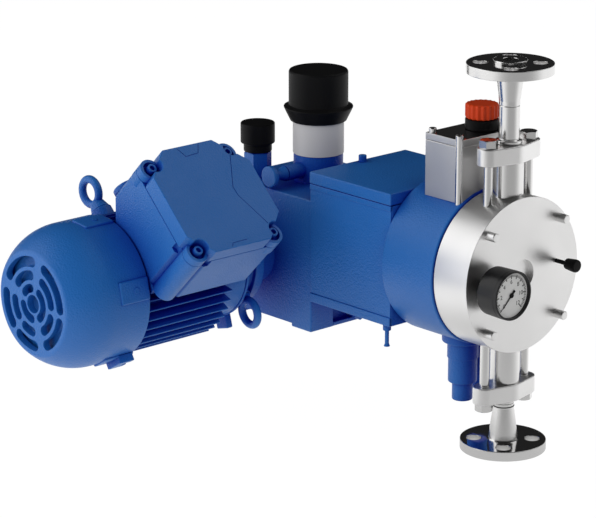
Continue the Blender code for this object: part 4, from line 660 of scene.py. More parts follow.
# %% Gauge case and dial
low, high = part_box("gauge_case")
gauge = middle("gauge_case")
dial_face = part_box("gauge_dial")[1].x
GAUGE_R = (high.z - low.z) / 2
GAUGE_BACK = FACE_X + 0.008
BEZEL, STEM_R, DIAL_HOLE_R, DIAL_THICK = 0.0022, 0.007, 0.0018, 0.0009
inner = GAUGE_R - BEZEL
case = turned(
    "gauge_shell",
    [(0, dial_face - 0.0014), (inner, dial_face - 0.0014), (inner, high.x), (GAUGE_R - 0.0002, high.x),
     (GAUGE_R - 0.0002, high.x - 0.004), (GAUGE_R, high.x - 0.0055), (GAUGE_R - 0.0006, GAUGE_BACK + 0.003),
     (GAUGE_R - 0.004, GAUGE_BACK), (STEM_R, GAUGE_BACK), (STEM_R, low.x), (0, low.x)],
    put(0, gauge.y, gauge.z, "X"), 0.0008, 128,
)
show(case, GLOSSY, BASE, "gauge_case")

READER = Matrix.Translation((0, gauge.y, gauge.z)) @ Matrix((
    (0, 0, 1, 0), (1, 0, 0, 0), (0, 1, 0, 0), (0, 0, 0, 1)
))  # own X to the reader's right, own Y up, own Z towards the reader
dial = turned(
    "dial_plate", tube(inner - 0.0002, DIAL_HOLE_R, dial_face, dial_face - DIAL_THICK), READER, 0.0002, 128
)
show(dial, DIAL, BASE, "gauge_dial")

# %% Scale and figures
ZERO, SWEEP = math.radians(225), math.radians(270)
MARK_R, FIGURE_R, FIGURE_SIZE = 0.0212, 0.0138, 0.0062
LONG_MARK, SHORT_MARK = (0.0042, 0.0010), (0.0024, 0.0006)  # length and width
MARKS, MARKS_A_FIGURE, FIGURES = 60, 5, 6
INK_LOW, INK_HIGH = 0.00002, 0.00008
marks = bmesh.new()
for tick in range(MARKS + 1):
    angle = ZERO - SWEEP * tick / MARKS
    length, width = SHORT_MARK if tick % MARKS_A_FIGURE else LONG_MARK
    spoke = Vector((math.cos(angle), math.sin(angle)))
    side = Vector((-spoke.y, spoke.x)) * width / 2
    inside = (MARK_R - length) * spoke
    flat = (MARK_R * spoke + side, inside + side, inside - side, MARK_R * spoke - side)
    under, over = (
        [marks.verts.new((*point, dial_face + lift)) for point in flat] for lift in (INK_LOW, INK_HIGH)
    )
    marks.faces.new(under)
    marks.faces.new(over)
    for i in range(4):
        marks.faces.new((under[i - 1], under[i], over[i], over[i - 1]))
scale = as_piece("dial_scale", marks, READER)
for step in range(FIGURES + 1):
    angle = ZERO - SWEEP * step / FIGURES
    text = bpy.data.curves.new("figure", "FONT")
    text.body = str(step * 2)
    text.size = FIGURE_SIZE
    text.align_x = text.align_y = "CENTER"
    text.extrude = (INK_HIGH - INK_LOW) / 2
    maker = bpy.data.objects.new("figure", text)
    scene.collection.objects.link(maker)
    mesh = mesh_of(maker)
    bpy.data.objects.remove(maker)
    mesh.transform(READER @ Matrix.Translation((
        FIGURE_R * math.cos(angle), FIGURE_R * math.sin(angle), dial_face + (INK_HIGH + INK_LOW) / 2
    )))
    merge(scale, bpy.data.objects.new("figure", mesh))
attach(scale, BASE)
scale.data.materials.append(BLACK)
print(scale.name, "faces:", len(scale.data.polygons))

# %% Pointer and vent
low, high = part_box("gauge_pointer")
needle_low = dial_face + FIT
NEEDLE_THICK, NEEDLE_HUB_R, NEEDLE_PIN_R = 0.0006, 0.0026, 0.0012
blade = plate(
    "pointer_blade",
    [[(0.0170, 0.0003), (0.0170, -0.0003), (0, -0.0009), (-0.0060, -0.0016), (-0.0066, 0), (-0.0060, 0.0016),
      (0, 0.0009)]],
    needle_low, needle_low + NEEDLE_THICK, READER @ Matrix.Rotation(ZERO, 4, "Z"), 0.0001,
)
hub_loop = stepped(high.x, (NEEDLE_HUB_R, needle_low), (NEEDLE_PIN_R, low.x))
merge(blade, turned("hub", hub_loop, READER, 0.0003, 32))
show(blade, BLACK, "gauge_needle", "gauge_pointer")

low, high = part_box("vent_screw")
vent = middle("vent_screw")
knob_r = (high.z - low.z) / 2
VENT_STEM_R, VENT_KNOB = 0.0022, 0.0147
knob_end = high.x - VENT_KNOB
knob = turned(
    "vent_knob",
    [(0, high.x), (knob_r - 0.0004, high.x), (knob_r, high.x - 0.003), (knob_r - 0.0012, knob_end),
     (VENT_STEM_R, knob_end), (VENT_STEM_R, low.x), (0, low.x)],
    put(0, vent.y, vent.z, "X"), 0.0014, 48,
)
show(knob, BLACK, "vent", "vent_screw")

# %% [markdown]
# ## Oil reservoir
#
# A steel box with a lid, held down by four tie rods; the two front ones stand free in cut corners. Straight
# pieces are drawn as an outline, pushed up to their height, and their sharp edges are rounded. A scaled
# cube would do for a plain box, but not with cut corners.

# %% Tank, lid and tie rods
def prism(name, outline, low, high, place=Matrix(), soft=0.001):
    """An outline pushed up from low to high, with all its sharp edges rounded."""
    shape = bmesh.new()
    floor_ring = [shape.verts.new((x, y, low)) for x, y in outline]
    roof_ring = [shape.verts.new((x, y, high)) for x, y in outline]
    shape.faces.new(floor_ring)
    shape.faces.new(roof_ring)
    for i in range(len(outline)):
        k = (i + 1) % len(outline)
        shape.faces.new((floor_ring[i], floor_ring[k], roof_ring[k], roof_ring[i]))
    bmesh.ops.recalc_face_normals(shape, faces=shape.faces)
    if soft:
        sharp = [edge for edge in shape.edges if edge.calc_face_angle() > math.radians(30)]
        bmesh.ops.bevel(
            shape, geom=sharp, offset=soft, segments=3, profile=0.5, affect="EDGES", clamp_overlap=True
        )
    return as_piece(name, shape, place)


def rectangle(x0, y0, x1, y1):
    return [(x0, y0), (x1, y0), (x1, y1), (x0, y1)]


TANK_WALL = 0.004
low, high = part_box("reservoir_tank")
lid_low, lid_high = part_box("reservoir_lid")
rods = [middle(f"tie_rod_{number}") for number in range(1, 5)]
front = max(rod.x for rod in rods)
side = max(abs(rod.y) for rod in rods)
outline = [
    (low.x, low.y), (front, low.y), (front, -side), (high.x, -side), (high.x, side), (front, side),
    (front, high.y), (low.x, high.y),
]
tank = prism("tank_box", outline, low.z, high.z, soft=0.0008)
room = prism(
    "room", rectangle(low.x + TANK_WALL, low.y + TANK_WALL, high.x - TANK_WALL, high.y - TANK_WALL),
    AXIS_Z + DRUM_R + TANK_WALL, high.z + 0.01, soft=0,
)
saddle = turned("saddle", bar(DRUM_R - 0.0005, low.x - 0.01, high.x + 0.01), HEAD_AXIS, 0, 192)
show(combine(tank, "DIFFERENCE", saddle, room), BRUSHED, BASE, "reservoir_tank")
lid = prism("tank_lid", outline, lid_low.z, lid_high.z, soft=0.0007)
show(lid, BRUSHED, BASE, "reservoir_lid")
polish_tops(lid)
for number, rod in enumerate(rods, 1):
    low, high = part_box(f"tie_rod_{number}")
    post = turned(
        f"tank_rod_{number}", bar((high.x - low.x) / 2, high.z, low.z), put(rod.x, rod.y, 0), 0.0012, 48
    )
    show(post, STEEL, BASE, f"tie_rod_{number}")

# %% Neck and fluted cap
low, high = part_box("reservoir_neck")
spot = middle("reservoir_neck")
stand = put(spot.x, spot.y, 0)
neck_r = (high.x - low.x) / 2
NECK_SHANK_R, NECK_BORE = 0.0135, 0.012
neck = turned(
    "tank_neck",
    [(neck_r, high.z), (neck_r, lid_high.z + FIT), (NECK_SHANK_R, lid_high.z + FIT), (NECK_SHANK_R, low.z),
     (NECK_BORE, low.z), (NECK_BORE, high.z)],
    stand, 0.0008,
)
show(neck, BLACK, BASE, "reservoir_neck")

FLUTES, FLUTE_STEPS, FLUTE_DEPTH = 18, 8, 0.0007
low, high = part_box("reservoir_cap")
cap_r = (high.x - low.x) / 2
wavy = []
for i in range(FLUTES * FLUTE_STEPS):
    angle = 2 * math.pi * i / (FLUTES * FLUTE_STEPS)
    radius = cap_r - FLUTE_DEPTH + FLUTE_DEPTH * math.cos(FLUTES * angle)
    wavy.append((radius * math.cos(angle), radius * math.sin(angle)))
show(plate("tank_cap_grip", [wavy], low.z, high.z, stand, 0.0022), ORANGE, "tank_cap", "reservoir_cap")

# %% [markdown]
# ## Gear housing
#
# One casting: the case, the box that carries the plunger drive, a neck for the motor and two bosses. The
# shapes are joined by Booleans. The case is rounded before that, inside corners as well, the way a casting
# is, because a Bevel modifier after so many cuts is held back by their shortest edges.

# %% The casting's outside
DECK, BOX_BOTTOM = 0.146, 0.0355
NECK_R, BOSS_WIDE_R, LOCK_BOSS_R, LOCK_BOSS_END = 0.0345, 0.0268, 0.0085, -0.0488
low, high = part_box("gear_housing")
cover_low, cover_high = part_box("housing_cover")
case_back, box_end, half, flange_y = low.x, high.x, cover_high.y, low.y
case_front, box_top = cover_low.x, cover_low.z - FIT
motor, sleeve, lock = middle("rotor"), middle("scale_sleeve"), middle("lock_screw")
MOTOR_AXIS = put(motor.x, 0, motor.z, "Y")
ADJUSTER_AXIS = put(sleeve.x, sleeve.y, 0)
LOCK_AXIS = put(lock.x, 0, lock.z, "Y")
side_view = [
    (case_back, 0), (case_front, 0), (case_front, -BOX_BOTTOM), (box_end, -BOX_BOTTOM), (box_end, -box_top),
    (case_front, -box_top), (case_front, -DECK), (case_back, -DECK),
]
housing = prism("housing_casting", side_view, -half, half, TURN["Y"], soft=0.0017)
boss_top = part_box("scale_sleeve")[0].z - FIT
combine(
    housing, "UNION",
    turned("boss", bar(BOSS_WIDE_R, boss_top, DECK - 0.01), ADJUSTER_AXIS, 0, 72),
    turned("boss", bar(LOCK_BOSS_R, -0.018, LOCK_BOSS_END), LOCK_AXIS, 0, 32),
    turned("neck", bar(NECK_R, flange_y, -half + 0.004), MOTOR_AXIS, 0, 72),
)
print("outside faces:", len(housing.data.polygons))

# %% Rooms, bores, drain recess and feet
WALL = 0.008
FOOT_LENGTH, FOOT_WIDTH, FOOT_HEIGHT, BELOW = 0.030, 0.040, 0.004, -0.01
RECESS_DEPTH, RECESS_NEAR, RECESS_FAR, RECESS_TOP = 0.0075, -0.0355, 0.023, 0.0215
BORES = (  # radius, start, end, axis and steps
    (0.019, 0.02, 0.09, HEAD_AXIS, 48), (0.014, 0.15, 0.21, HEAD_AXIS, 48),
    (0.011, 0.12, 0.2, ADJUSTER_AXIS, 48), (0.020, -0.12, -0.05, MOTOR_AXIS, 48),
    (0.0046, -0.06, 0, LOCK_AXIS, 36),
)
blocks = [
    (case_back + WALL, -half + WALL, case_front - WALL, half - WALL, 0.012, DECK - WALL),
    (case_front + WALL, -half + WALL, box_end - WALL, half - WALL, BOX_BOTTOM + WALL, box_top + 0.01),
]
gaps = [
    (case_front - RECESS_DEPTH, RECESS_NEAR, case_front + 0.01, RECESS_FAR, BELOW, RECESS_TOP),
    (case_back + FOOT_LENGTH, -half - 0.01, case_front - FOOT_LENGTH, half + 0.01, BELOW, FOOT_HEIGHT),
    (case_back - 0.01, -half + FOOT_WIDTH, case_front + 0.01, half - FOOT_WIDTH, BELOW, FOOT_HEIGHT),
]


def block(x0, y0, x1, y1, low, high):
    return prism("block", rectangle(x0, y0, x1, y1), low, high, soft=0)


combine(
    housing, "DIFFERENCE", *[block(*sizes) for sizes in blocks],
    *[turned("bore", bar(radius, start, end), axis, 0, steps) for radius, start, end, axis, steps in BORES],
    *[block(*sizes) for sizes in gaps],
)
print("faces after the cuts:", len(housing.data.polygons))

# %% Front wall and cover
PROUD = 0.0014
for name, out_by, z0, z1 in (
    ("wall", PROUD, BOX_BOTTOM + FIT, box_top),
    ("rim", PROUD + 0.0011, BOX_BOTTOM + FIT, BOX_BOTTOM + 0.010),
    ("lip", PROUD + 0.0009, box_top - 0.006, box_top),
):
    face = rectangle(case_front + 0.0004, -half - out_by, box_end - 0.0004, half + out_by)
    merge(housing, prism(name, face, z0, z1, soft=0.0009))
sill = rectangle(case_front - 0.014, RECESS_NEAR - 0.002, case_front - 0.0006, RECESS_FAR + 0.002)
merge(housing, prism("sill", sill, 0.0004, 0.0046, soft=0.0006))
show(housing, BLUE, BASE, "gear_housing")

cover_half = half + PROUD + 0.0012
slab = rectangle(case_front, -cover_half, box_end, cover_half)
show(prism("cover_slab", slab, cover_low.z, cover_high.z, soft=0.0016), BLUE, BASE, "housing_cover")

# %% Cover plug, drain plug and nipple
PLUG_SHANK_R, DRAIN_HEX, DRAIN_SHANK_R, DRAIN_IN = 0.003, 0.016, 0.005, 0.0077
low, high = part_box("cover_plug")
spot = middle("cover_plug")
plug_r = (high.x - low.x) / 2
plug_loop = stepped(high.z, (plug_r, cover_high.z), (PLUG_SHANK_R, low.z))
show(turned("cover_stopper", plug_loop, put(spot.x, spot.y, 0), 0.001, 48), BLUE, BASE, "cover_plug")

low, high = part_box("drain_plug")
spot = middle("drain_plug")
stand = put(0, spot.y, spot.z, "X")
drain = hexagon("drain_hexagon", DRAIN_HEX, case_front - DRAIN_IN, high.x, stand)
merge(drain, turned("shank", bar(DRAIN_SHANK_R, high.x - 0.002, low.x), stand, 0.0005, 32))
show(drain, BLUE, BASE, "drain_plug")

COLLAR_R, COLLAR_LENGTH, TUBE_R, LIP_R, INSIDE_R = 0.0043, 0.008, 0.0022, 0.0034, 0.004
low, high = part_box("drain_nipple")
spot = middle("drain_nipple")
collar_end = BOX_BOTTOM - COLLAR_LENGTH
nipple_loop = stepped(high.z, (INSIDE_R, BOX_BOTTOM), (COLLAR_R, collar_end), (TUBE_R, low.z + 0.003))
nipple_loop[-1:] = [(LIP_R, low.z), (0, low.z)]
show(turned("drain_spigot", nipple_loop, put(spot.x, spot.y, 0), 0.0007, 48), BLUE, BASE, "drain_nipple")

# %% [markdown]
# ## Stroke adjuster, lock screw and oil filler
#
# The black knob slides over a grey scale sleeve and sets how far the plunger travels. Its flared skirt is
# one sweep with the grip; two separate rings would show a joint that the real knob doesn't have. The oil
# filler is a hexagon post under a black cap, drilled through.

# %% Sleeve, knob and lock screw
SLEEVE_WALL, KNOB_R, KNOB_ROOF, FLARE_RISE = 0.002, 0.032, 0.006, 0.0145
low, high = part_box("scale_sleeve")
sleeve_r = (high.x - low.x) / 2
show(
    turned("sleeve_tube", tube(sleeve_r, sleeve_r - SLEEVE_WALL, high.z, low.z), ADJUSTER_AXIS, 0.0006, 128),
    GREY, BASE, "scale_sleeve",
)

low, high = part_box("stroke_knob")
flare_r = (high.x - low.x) / 2
bore = sleeve_r + 0.0005
flare_z = low.z + FLARE_RISE
grip = turned(
    "knob_grip",
    [(0, high.z), (KNOB_R - 0.0025, high.z), (KNOB_R - 0.0008, high.z - 0.0006), (KNOB_R, high.z - 0.0024),
     (KNOB_R, flare_z + 0.0032), (flare_r, flare_z + 0.0011), (flare_r, flare_z), (bore + 0.0022, low.z),
     (bore, low.z), (bore, high.z - KNOB_ROOF), (0, high.z - KNOB_ROOF)],
    ADJUSTER_AXIS, 0.0007, 128,
)
show(grip, BLACK, "adjusting_knob", "stroke_knob")

LOCK_SHANK_R, LOCK_STEM_R, LOCK_DISC = 0.004, 0.0052, 0.006
low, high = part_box("lock_screw")
disc_r = (high.z - low.z) / 2
lock_face = LOCK_BOSS_END - 0.0004
screw = turned(
    "lock_knob",
    [(0, high.y), (LOCK_SHANK_R, high.y), (LOCK_SHANK_R, lock_face), (LOCK_BOSS_R, lock_face),
     (LOCK_STEM_R, -0.058), (LOCK_STEM_R, low.y + LOCK_DISC), (disc_r, low.y + LOCK_DISC), (disc_r, low.y),
     (0, low.y)],
    LOCK_AXIS, 0.0016, 64,
)
show(screw, BLUE, "locking_screw", "lock_screw")

# %% Oil filler
POST_HEX, POST_BORE, POST_SHANK_R = 0.0262, 0.009, 0.0105
low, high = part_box("oil_filler_neck")
filler = middle("oil_filler_neck")
stand = put(filler.x, filler.y, 0)
post = hexagon("filler_post", POST_HEX, DECK + FIT, high.z, stand, both=True)
combine(post, "DIFFERENCE", turned("bore", bar(POST_BORE, DECK - 0.02, high.z + 0.01), stand, 0, 48))
merge(post, turned("shank", tube(POST_SHANK_R, POST_BORE, DECK + 0.004, low.z), stand, 0, 48))
show(post, BLUE, BASE, "oil_filler_neck")

CAP_NECK_R, CAP_NECK_RISE = 0.0153, 0.0094
low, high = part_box("oil_filler_cap")
cap_r = (high.x - low.x) / 2
cap_loop = stepped(high.z, (cap_r, low.z + CAP_NECK_RISE), (CAP_NECK_R, low.z))
show(turned("filler_cap_grip", cap_loop, stand, 0.0016), BLACK, "filler_cap", "oil_filler_cap")

# %% [markdown]
# ## Motor: finned frame, end shield and eyes
#
# The frame is one outline pushed along the motor, with forty fins that get thinner outwards, as they must
# to come out of a mould. Forty boxes in a ring would do too, but they would leave seams at their roots. The
# shield that bolts the frame to the gear housing is turned, with four ears, and the lifting eyes are rings
# on tapered collars.

# %% Finned frame
def radial(turn, y=0):
    """Lays a shape's own Z axis out from the motor axis, at this angle from +X towards +Z."""
    return Matrix.Translation((motor.x, y, motor.z)) @ Matrix.Rotation(math.pi / 2 - turn, 4, "Y")


FINS, FIN_ROOT_R, FIN_TIP_R, FRAME_BORE_R, FIN_END = 40, 0.060, 0.073, 0.0553, -0.160
FIN_HALF = (
    (FIN_ROOT_R, 0.0014), (FIN_TIP_R - 0.0006, 0.0009), (FIN_TIP_R, 0.0003)
)  # radius and half thickness
EYE_PAD_R, LOWER_SEAT, UPPER_SEAT = 0.0118, 0.0515, 0.086
frame_low, frame_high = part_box("motor_frame")
outline = []
for fin in range(FINS):
    for radius, aside in [(r, -t) for r, t in FIN_HALF] + list(reversed(FIN_HALF)):
        angle = 2 * math.pi * fin / FINS + aside / radius
        outline.append((radius * math.cos(angle), radius * math.sin(angle)))
finned = prism("frame_casting", outline, frame_low.y, FIN_END, MOTOR_AXIS, soft=0)
combine(finned, "DIFFERENCE", turned("bore", bar(FRAME_BORE_R, -0.4, 0), MOTOR_AXIS, 0, 96))
barrel = tube(FIN_ROOT_R, FRAME_BORE_R, frame_high.y, FIN_END - 0.004)
merge(finned, turned("barrel", barrel, MOTOR_AXIS, 0.001, 128))
upper_lie = radial(math.radians(135), middle("lifting_eye_upper").y)
lower_lie = radial(math.radians(-45), middle("lifting_eye_lower").y)
merge(finned, turned("eye_pad", bar(EYE_PAD_R, UPPER_SEAT, FIN_ROOT_R - 0.002), upper_lie, 0.0012, 48))
show(finned, BLUE, BASE, "motor_frame")

# %% End shield
FLANGE_R, WAIST_R, RING_R, SPIGOT_R, SPIGOT_BORE, SHAFT_HOLE_R = 0.0525, 0.0475, 0.0612, 0.055, 0.049, 0.0075
FLANGE_BACK, ROOM_R = 0.012, 0.043
low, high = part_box("drive_end_shield")
shield_y, shield_back = flange_y - FIT, frame_high.y + FIT
web_y = shield_y - FLANGE_BACK
shield = turned(
    "shield_casting",
    [(FLANGE_R, shield_y), (FLANGE_R, web_y), (WAIST_R, web_y), (WAIST_R, shield_back + 0.006),
     (RING_R, shield_back + 0.003), (RING_R, shield_back), (SPIGOT_R, shield_back), (SPIGOT_R, low.y),
     (SPIGOT_BORE, low.y), (ROOM_R, shield_back), (ROOM_R, web_y), (SHAFT_HOLE_R, web_y),
     (SHAFT_HOLE_R, shield_y)],
    MOTOR_AXIS, 0.0018, 128,
)
for i in range(4):
    merge(shield, prism(
        "ear", rectangle(-0.009, shield_back, 0.009, shield_back + 0.008), 0.0585, 0.075,
        radial(math.radians(15 + 90 * i)), 0.0015,
    ))
merge(shield, turned("eye_pad", bar(0.011, LOWER_SEAT, 0.040), lower_lie, 0.0012, 48))
show(shield, BLUE, BASE, "drive_end_shield")

# %% Lifting eyes
EYE_R, WIRE_R, EYE_STEM_R, EYE_STEM = 0.0137, 0.0043, 0.004, 0.0065


def lifting_eye(name, lie, seat, out, collar_r, node):
    collar = turned(
        name,
        [(0, out - EYE_R + 0.0025), (WIRE_R + 0.0028, out - EYE_R + 0.0012), (collar_r, seat + FIT),
         (EYE_STEM_R, seat + FIT), (EYE_STEM_R, seat - EYE_STEM), (0, seat - EYE_STEM)],
        lie, 0.0012, 48,
    )
    ring_loop = arc(WIRE_R, 24, (EYE_R, 0))
    ring = turned("ring", ring_loop, lie @ Matrix.Translation((0, 0, out)) @ TURN["Y"], 0, 72)
    show(merge(collar, ring), BLUE, BASE, node)


lower_turn = Matrix.Rotation(math.radians(6), 4, "Z")
lifting_eye("eye_upper", upper_lie, UPPER_SEAT, 0.1096, 0.0108, "lifting_eye_upper")
lifting_eye("eye_lower", lower_lie @ lower_turn, LOWER_SEAT, 0.0703, 0.0106, "lifting_eye_lower")

# %% [markdown]
# ## Fan cowl
#
# A deep drawn hood with a grille in its face. The hood is turned, and the face is cut from a filled curve
# with the slots as holes, so that their lips come out round. Booleans could cut the slots out of the hood,
# but they would leave sharp lips. Five pads and a lug sit at the rim. Behind the grille runs a closed fan
# wheel, with six blades between two plates.

# %% The hood
COWL_R, COWL_WALL, FACE_R, DOME, DOME_STEPS = 0.0758, 0.0018, 0.055, 0.050, 24
GRILLE_R, GRILLE_DEPTH, EDGE, EDGE_STEPS = 0.0527, 0.008, 0.0022, 6
low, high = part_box("fan_cowl")
rim_y = high.y + 0.0038
grille_back = low.y + GRILLE_DEPTH
step_in = COWL_R - FACE_R
dome_r = (DOME**2 + step_in**2) / (2 * step_in)
sweep = math.asin(DOME / dome_r)
outer = []
for i in range(DOME_STEPS + 1):
    bend = sweep * i / DOME_STEPS
    outer.append((COWL_R - dome_r * (1 - math.cos(bend)), low.y + DOME - dome_r * math.sin(bend)))
corner = Vector(outer.pop())
slope = (Vector(outer[-1]) - corner).normalized()
start, end = corner + slope * EDGE, corner - Vector((EDGE, 0))
outer = [point for point in outer if point[1] > start.y]
outer += [*round_corner(start, corner, end, EDGE_STEPS), (GRILLE_R, low.y)]
inner = [(radius - COWL_WALL, y + COWL_WALL) for radius, y in reversed(outer[1:-1])]
rim_loop = [
    (COWL_R, rim_y), *outer, (GRILLE_R, grille_back), *[point for point in inner if point[1] > grille_back],
    (COWL_R - COWL_WALL, rim_y),
]
hood = turned("cowl_hood", rim_loop, MOTOR_AXIS, 0, 160)
print("hood loop points:", len(rim_loop))

# %% The grille
WIDE, THIN, HUB = 0.0100, 0.0038, 0.005
FIVE = ((4.5, THIN), (75, WIDE), (132, THIN), (197, WIDE), (283, WIDE))  # spokes by angle and width
THREE = ((75, HUB), (192, HUB), (283, HUB))
HUB_HOLE_R = 0.0096
SLOT_RINGS = ((0.0390, 0.0500, FIVE), (0.0250, 0.0350, FIVE), (0.0120, 0.0210, THREE))


def slot_outline(inside, outside, spoke, next_spoke):
    """One round-ended slot of a ring of slots, between two spokes given by angle and width."""
    mid, half_width = (inside + outside) / 2, (outside - inside) / 2
    start = math.radians(spoke[0]) + (spoke[1] / 2 + half_width) / mid
    sweep = math.radians(next_spoke[0]) - (next_spoke[1] / 2 + half_width) / mid - start
    first = (mid * math.cos(start), mid * math.sin(start))
    last = (mid * math.cos(start + sweep), mid * math.sin(start + sweep))
    far_end = arc(half_width, 14, last, start + sweep, math.pi)[1:-1]
    near_end = arc(half_width, 14, first, start + math.pi, math.pi)[1:-1]
    outside_arc = arc(outside, 24, (0, 0), start, sweep)
    return outside_arc + far_end + arc(inside, 18, (0, 0), start + sweep, -sweep) + near_end


slots = [arc(HUB_HOLE_R, 40)]
for inside, outside, spokes in SLOT_RINGS:
    round_again = (spokes[0][0] + 360, spokes[0][1])
    for spoke, next_spoke in zip(spokes, (*spokes[1:], round_again)):
        slots.append(slot_outline(inside, outside, spoke, next_spoke))
grille = plate("grille", [arc(GRILLE_R + 0.0004, 160), *slots], low.y, grille_back, MOTOR_AXIS, 0.0004)
show(grille, GRILLE, BASE)

# %% Pads, screws and lug
PADS, PAD_HALF, PAD_LENGTH, PAD_RISE = 5, 0.012, 0.037, 0.0015
SCREW_R, SCREW_RISE, SCREW_IN = 0.0034, 0.0022, 0.013
pad_turns = [math.radians(12 + 72 * i) for i in range(PADS)]
for turn in pad_turns:
    face = rectangle(-PAD_HALF, rim_y - PAD_LENGTH, PAD_HALF, rim_y)
    merge(hood, prism("pad", face, COWL_R - 0.004, COWL_R + PAD_RISE, radial(turn), 0.0018))
    stand = radial(turn, high.y - SCREW_IN) @ Matrix.Translation((0, 0, COWL_R))
    merge(hood, turned("screw", bar(SCREW_R, SCREW_RISE, -0.002), stand, 0.0005, 32))
NOTCH_HALF, LUG_END, NOTCH_END, LUG_START = 0.004, rim_y - 0.002, rim_y - 0.010, rim_y - 0.021
lug = [
    (-PAD_HALF, LUG_START), (PAD_HALF, LUG_START), (PAD_HALF, LUG_END), (NOTCH_HALF, LUG_END),
    (NOTCH_HALF, NOTCH_END), (-NOTCH_HALF, NOTCH_END), (-NOTCH_HALF, LUG_END), (-PAD_HALF, LUG_END),
]
merge(hood, prism("lug", lug, COWL_R - 0.002, COWL_R + 0.008, radial(pad_turns[-1])))
show(hood, BLUE, BASE, "fan_cowl")

# %% The fan wheel
SHAFT_R, HUB_R, FRONT_R, BACK_R, PLATE = 0.0073, 0.013, 0.056, 0.058, 0.0025
BLADES, BLADE_HALF = 6, 0.0012
fan_low, fan_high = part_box("cooling_fan")
wheel_front, plate_y = grille_back + 0.005, fan_high.y - PLATE
wheel_loop = stepped(
    wheel_front, (FRONT_R, wheel_front + PLATE), (HUB_R, plate_y), (BACK_R, fan_high.y),
    (SHAFT_R, fan_low.y - 0.012),
)
wheel = turned("fan_wheel", wheel_loop, MOTOR_AXIS, 0.0005, 96)
for i in range(BLADES):
    face = rectangle(-BLADE_HALF, wheel_front + 0.002, BLADE_HALF, plate_y + 0.001)
    merge(wheel, prism("blade", face, HUB_R - 0.001, FRONT_R - 0.0005, radial(2 * math.pi * i / BLADES), 0))
show(wheel, GRILLE, "motor_shaft", "cooling_fan")

# %% [markdown]
# ## Terminal box
#
# A cast box with four screw columns and a lid whose raised field swells out between the screws. The box is
# joined and cut by Booleans, and its far lower side is cut upright. The lid needs none but for the thin
# grooves: its outline has a round bite at each corner, and a turned cup stands in each bite for the socket
# screw. Cutting the pockets out would leave crumbs where cutter and lid meet at a grazing angle.

# %% The tray and its columns
WIDTH, LENGTH, CORNER = 0.120, 0.122, 0.024
SEAM, DEPTH, ROOM_DEPTH, TRAY_WALL = 0.132, 0.068, 0.046, 0.006
EAR_R, TALL_COLUMN, SHORT_COLUMN, SCREW_PLACE = 0.0122, 0.066, 0.012, 0.05015
FAR_CUT, LOW_CUT, UPRIGHT_X, SADDLE_R = 0.006, 0.004, motor.x + 0.0195, 0.0733
PAD_R, PAD_PLACE = 0.014, (0, -0.0386, 0.0795)
NOTCHES, NOTCH_R, NOTCH_DEPTH = ((0.0600, -0.0362), (0.0355, -0.0612)), 0.0046, 0.009
box_lie = radial(math.radians(45), -0.2108)
x, y = WIDTH / 2, LENGTH / 2
in_x, in_y = x - CORNER, y - CORNER
spots = [(i * SCREW_PLACE, k * SCREW_PLACE) for i in (-1, 1) for k in (-1, 1)]
near_spot = spots[2]


def lie_at(spot):
    """The box's own axes, moved to a spot on its face."""
    return box_lie @ Matrix.Translation((*spot, 0))


tray_outline = [  # only two corners are cut deep
    (x, -in_y), (x, y - FAR_CUT), (x - FAR_CUT, y), (-in_x, y), (-x, in_y), (-x, LOW_CUT - y),
    (LOW_CUT - x, -y), (in_x, -y),
]
tray = prism("terminal_tray", tray_outline, SEAM - DEPTH, SEAM, box_lie, soft=0.0010)
neck_outline = rectangle(FIT - x, FIT - y, 0.046, y - CORNER / 2)
neck = prism("neck", neck_outline, 0, SEAM - DEPTH + 0.002, box_lie, soft=0.0010)
combine(tray, "UNION", neck)
for spot in spots:
    column = bar(EAR_R, SEAM + 0.0001, SEAM - (TALL_COLUMN if spot == near_spot else SHORT_COLUMN))
    combine(tray, "UNION", turned("column", column, lie_at(spot), 0.0008, 56))
print("tray faces before the cuts:", len(tray.data.polygons))

# %% Cuts of the tray and the blanking plug
blank_lie = box_lie @ Matrix.Translation(PAD_PLACE) @ Matrix.Rotation(-math.pi / 2, 4, "Y")
blank_face = x + 0.0022
room_x, room_y = x - TRAY_WALL, y - TRAY_WALL
cut_x, cut_y = room_x - CORNER, room_y - CORNER
room_outline = [
    (room_x, -cut_y), (room_x, cut_y), (cut_x, room_y), (-cut_x, room_y),
    (-room_x, cut_y), (-room_x, -cut_y), (-cut_x, -room_y), (cut_x, -room_y),
]
saddle = turned("saddle", bar(SADDLE_R, -0.4, 0), MOTOR_AXIS, 0, 96)
room = prism("room", room_outline, SEAM - ROOM_DEPTH, SEAM + 0.01, box_lie, soft=0)
upright = block(-0.3, -0.4, UPRIGHT_X, 0, -0.1, 0.4)
combine(tray, "DIFFERENCE", saddle, room, upright)
combine(tray, "UNION", turned("pad", bar(PAD_R, blank_face, x - 0.004), blank_lie, 0, 48))
notch = bar(NOTCH_R, SEAM + 0.002, SEAM - NOTCH_DEPTH)
combine(tray, "DIFFERENCE", *[turned("notch", notch, lie_at(spot), 0, 24) for spot in NOTCHES])
show(tray, BLUE, BASE, "terminal_box")

STOPPER_RISE, STOPPER_SHANK_R = 0.0063, 0.009
blank = stepped(blank_face + STOPPER_RISE, (PAD_R, blank_face + FIT), (STOPPER_SHANK_R, x - TRAY_WALL))
show(turned("blank_stopper", blank, blank_lie, 0.0012, 64), BLUE, BASE, "blanking_plug")

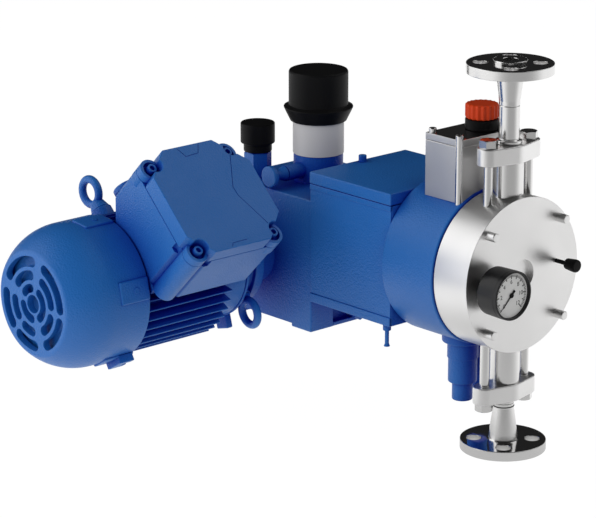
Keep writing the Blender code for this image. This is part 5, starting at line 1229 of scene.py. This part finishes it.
# %% The lid
LID_EDGE, LID_RISE, POCKET, POCKET_FLOOR, SWELL = 0.0092, 0.0095, 0.0086, 0.006, 0.0042
GROOVE_HALF, GROOVE_DEPTH, GROOVE_ENDS = 0.0004, 0.0006, 0.0002
GROOVES = (
    ((-0.0422, 0.0445), (-0.0060, 0.0261), (0.0041, 0.0267), (0.0424, 0.0434)),
    ((-0.0619, -0.0147), (-0.0513, -0.0091), (-0.0523, 0.0075), (-0.0619, 0.0134)),
    ((0.0542, 0.0076), (0.0547, -0.0115), (0.0580, -0.0140)),
)
lid_low = SEAM + FIT
edge_top = lid_low + LID_EDGE
top = edge_top + LID_RISE
facet_gap = (2 * SCREW_PLACE - (x + y - CORNER)) / math.sqrt(2)
bite = math.acos(facet_gap / POCKET)
corners = [  # screw, where the bitten facet starts and ends, and the swelling after it
    (spots[3], (x, in_y), (in_x, y), [(in_x - SWELL, y + SWELL), (SWELL - in_x, y + SWELL)]),
    (spots[1], (-in_x, y), (-x, in_y), [(-x - SWELL, in_y - SWELL), (-x - SWELL, SWELL - in_y)]),
    (spots[0], (-x, -in_y), (-in_x, -y), []),
    (spots[2], (in_x, -y), (x, -in_y), []),
]
lid_outline = []
for number, (spot, start, end, swell) in enumerate(corners):
    inward = math.radians(225 + 90 * number)
    lid_outline += [start, *arc(POCKET + 0.00005, 24, spot, inward + bite, -2 * bite), end, *swell]
lid = prism("lid_plate", lid_outline, lid_low, top, box_lie, soft=0.0009)
for line in GROOVES:
    for one, two in zip(line, line[1:]):
        along = (Vector(two) - Vector(one)).normalized()
        aside = Vector((-along.y, along.x)) * GROOVE_HALF
        one, two = Vector(one) - along * GROOVE_ENDS, Vector(two) + along * GROOVE_ENDS
        groove = [one - aside, two - aside, two + aside, one + aside]
        combine(lid, "DIFFERENCE", prism("groove", groove, top - GROOVE_DEPTH, top + 0.001, box_lie, soft=0))
ear = stepped(edge_top - POCKET_FLOOR, (POCKET, edge_top), (EAR_R, lid_low))
for spot in spots:
    merge(lid, turned("ear", ear, lie_at(spot), 0.0006, 48))
show(lid, BLUE, BASE, "terminal_lid")

# %% The lid's screws
SOCKET_R, SCREW_HEAD_R = 0.0027, 0.0050
screw = stepped(edge_top - 0.001, (SOCKET_R, edge_top + 0.0032), (SCREW_HEAD_R, edge_top - 0.0062))
for number, spot in enumerate(spots, 1):
    show(turned(f"lid_screw_{number}", screw, lie_at(spot), 0.0007, 48), BLUE, BASE)

# %% [markdown]
# ## The pieces inside
#
# Shafts, gears, plunger and valve balls are hidden by the housings. They could be built anew as well, but
# nobody sees them, so they keep their CAD shapes and only get their finishes.

# %% The pieces inside
INSIDE = {
    "crankshaft": HARD, "crosshead": HARD, "plunger": STEEL,
    "worm_shaft": HARD, "worm_wheel": BRONZE, "rotor": CORE, "stator": CORE, "stroke_spindle": HARD,
    "discharge_ball": HARD, "suction_ball": HARD,
}
for name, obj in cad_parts.items():
    if not obj.hide_render:
        obj.data.materials.clear()
        obj.data.materials.append(INSIDE[name])
        print("kept:", name)
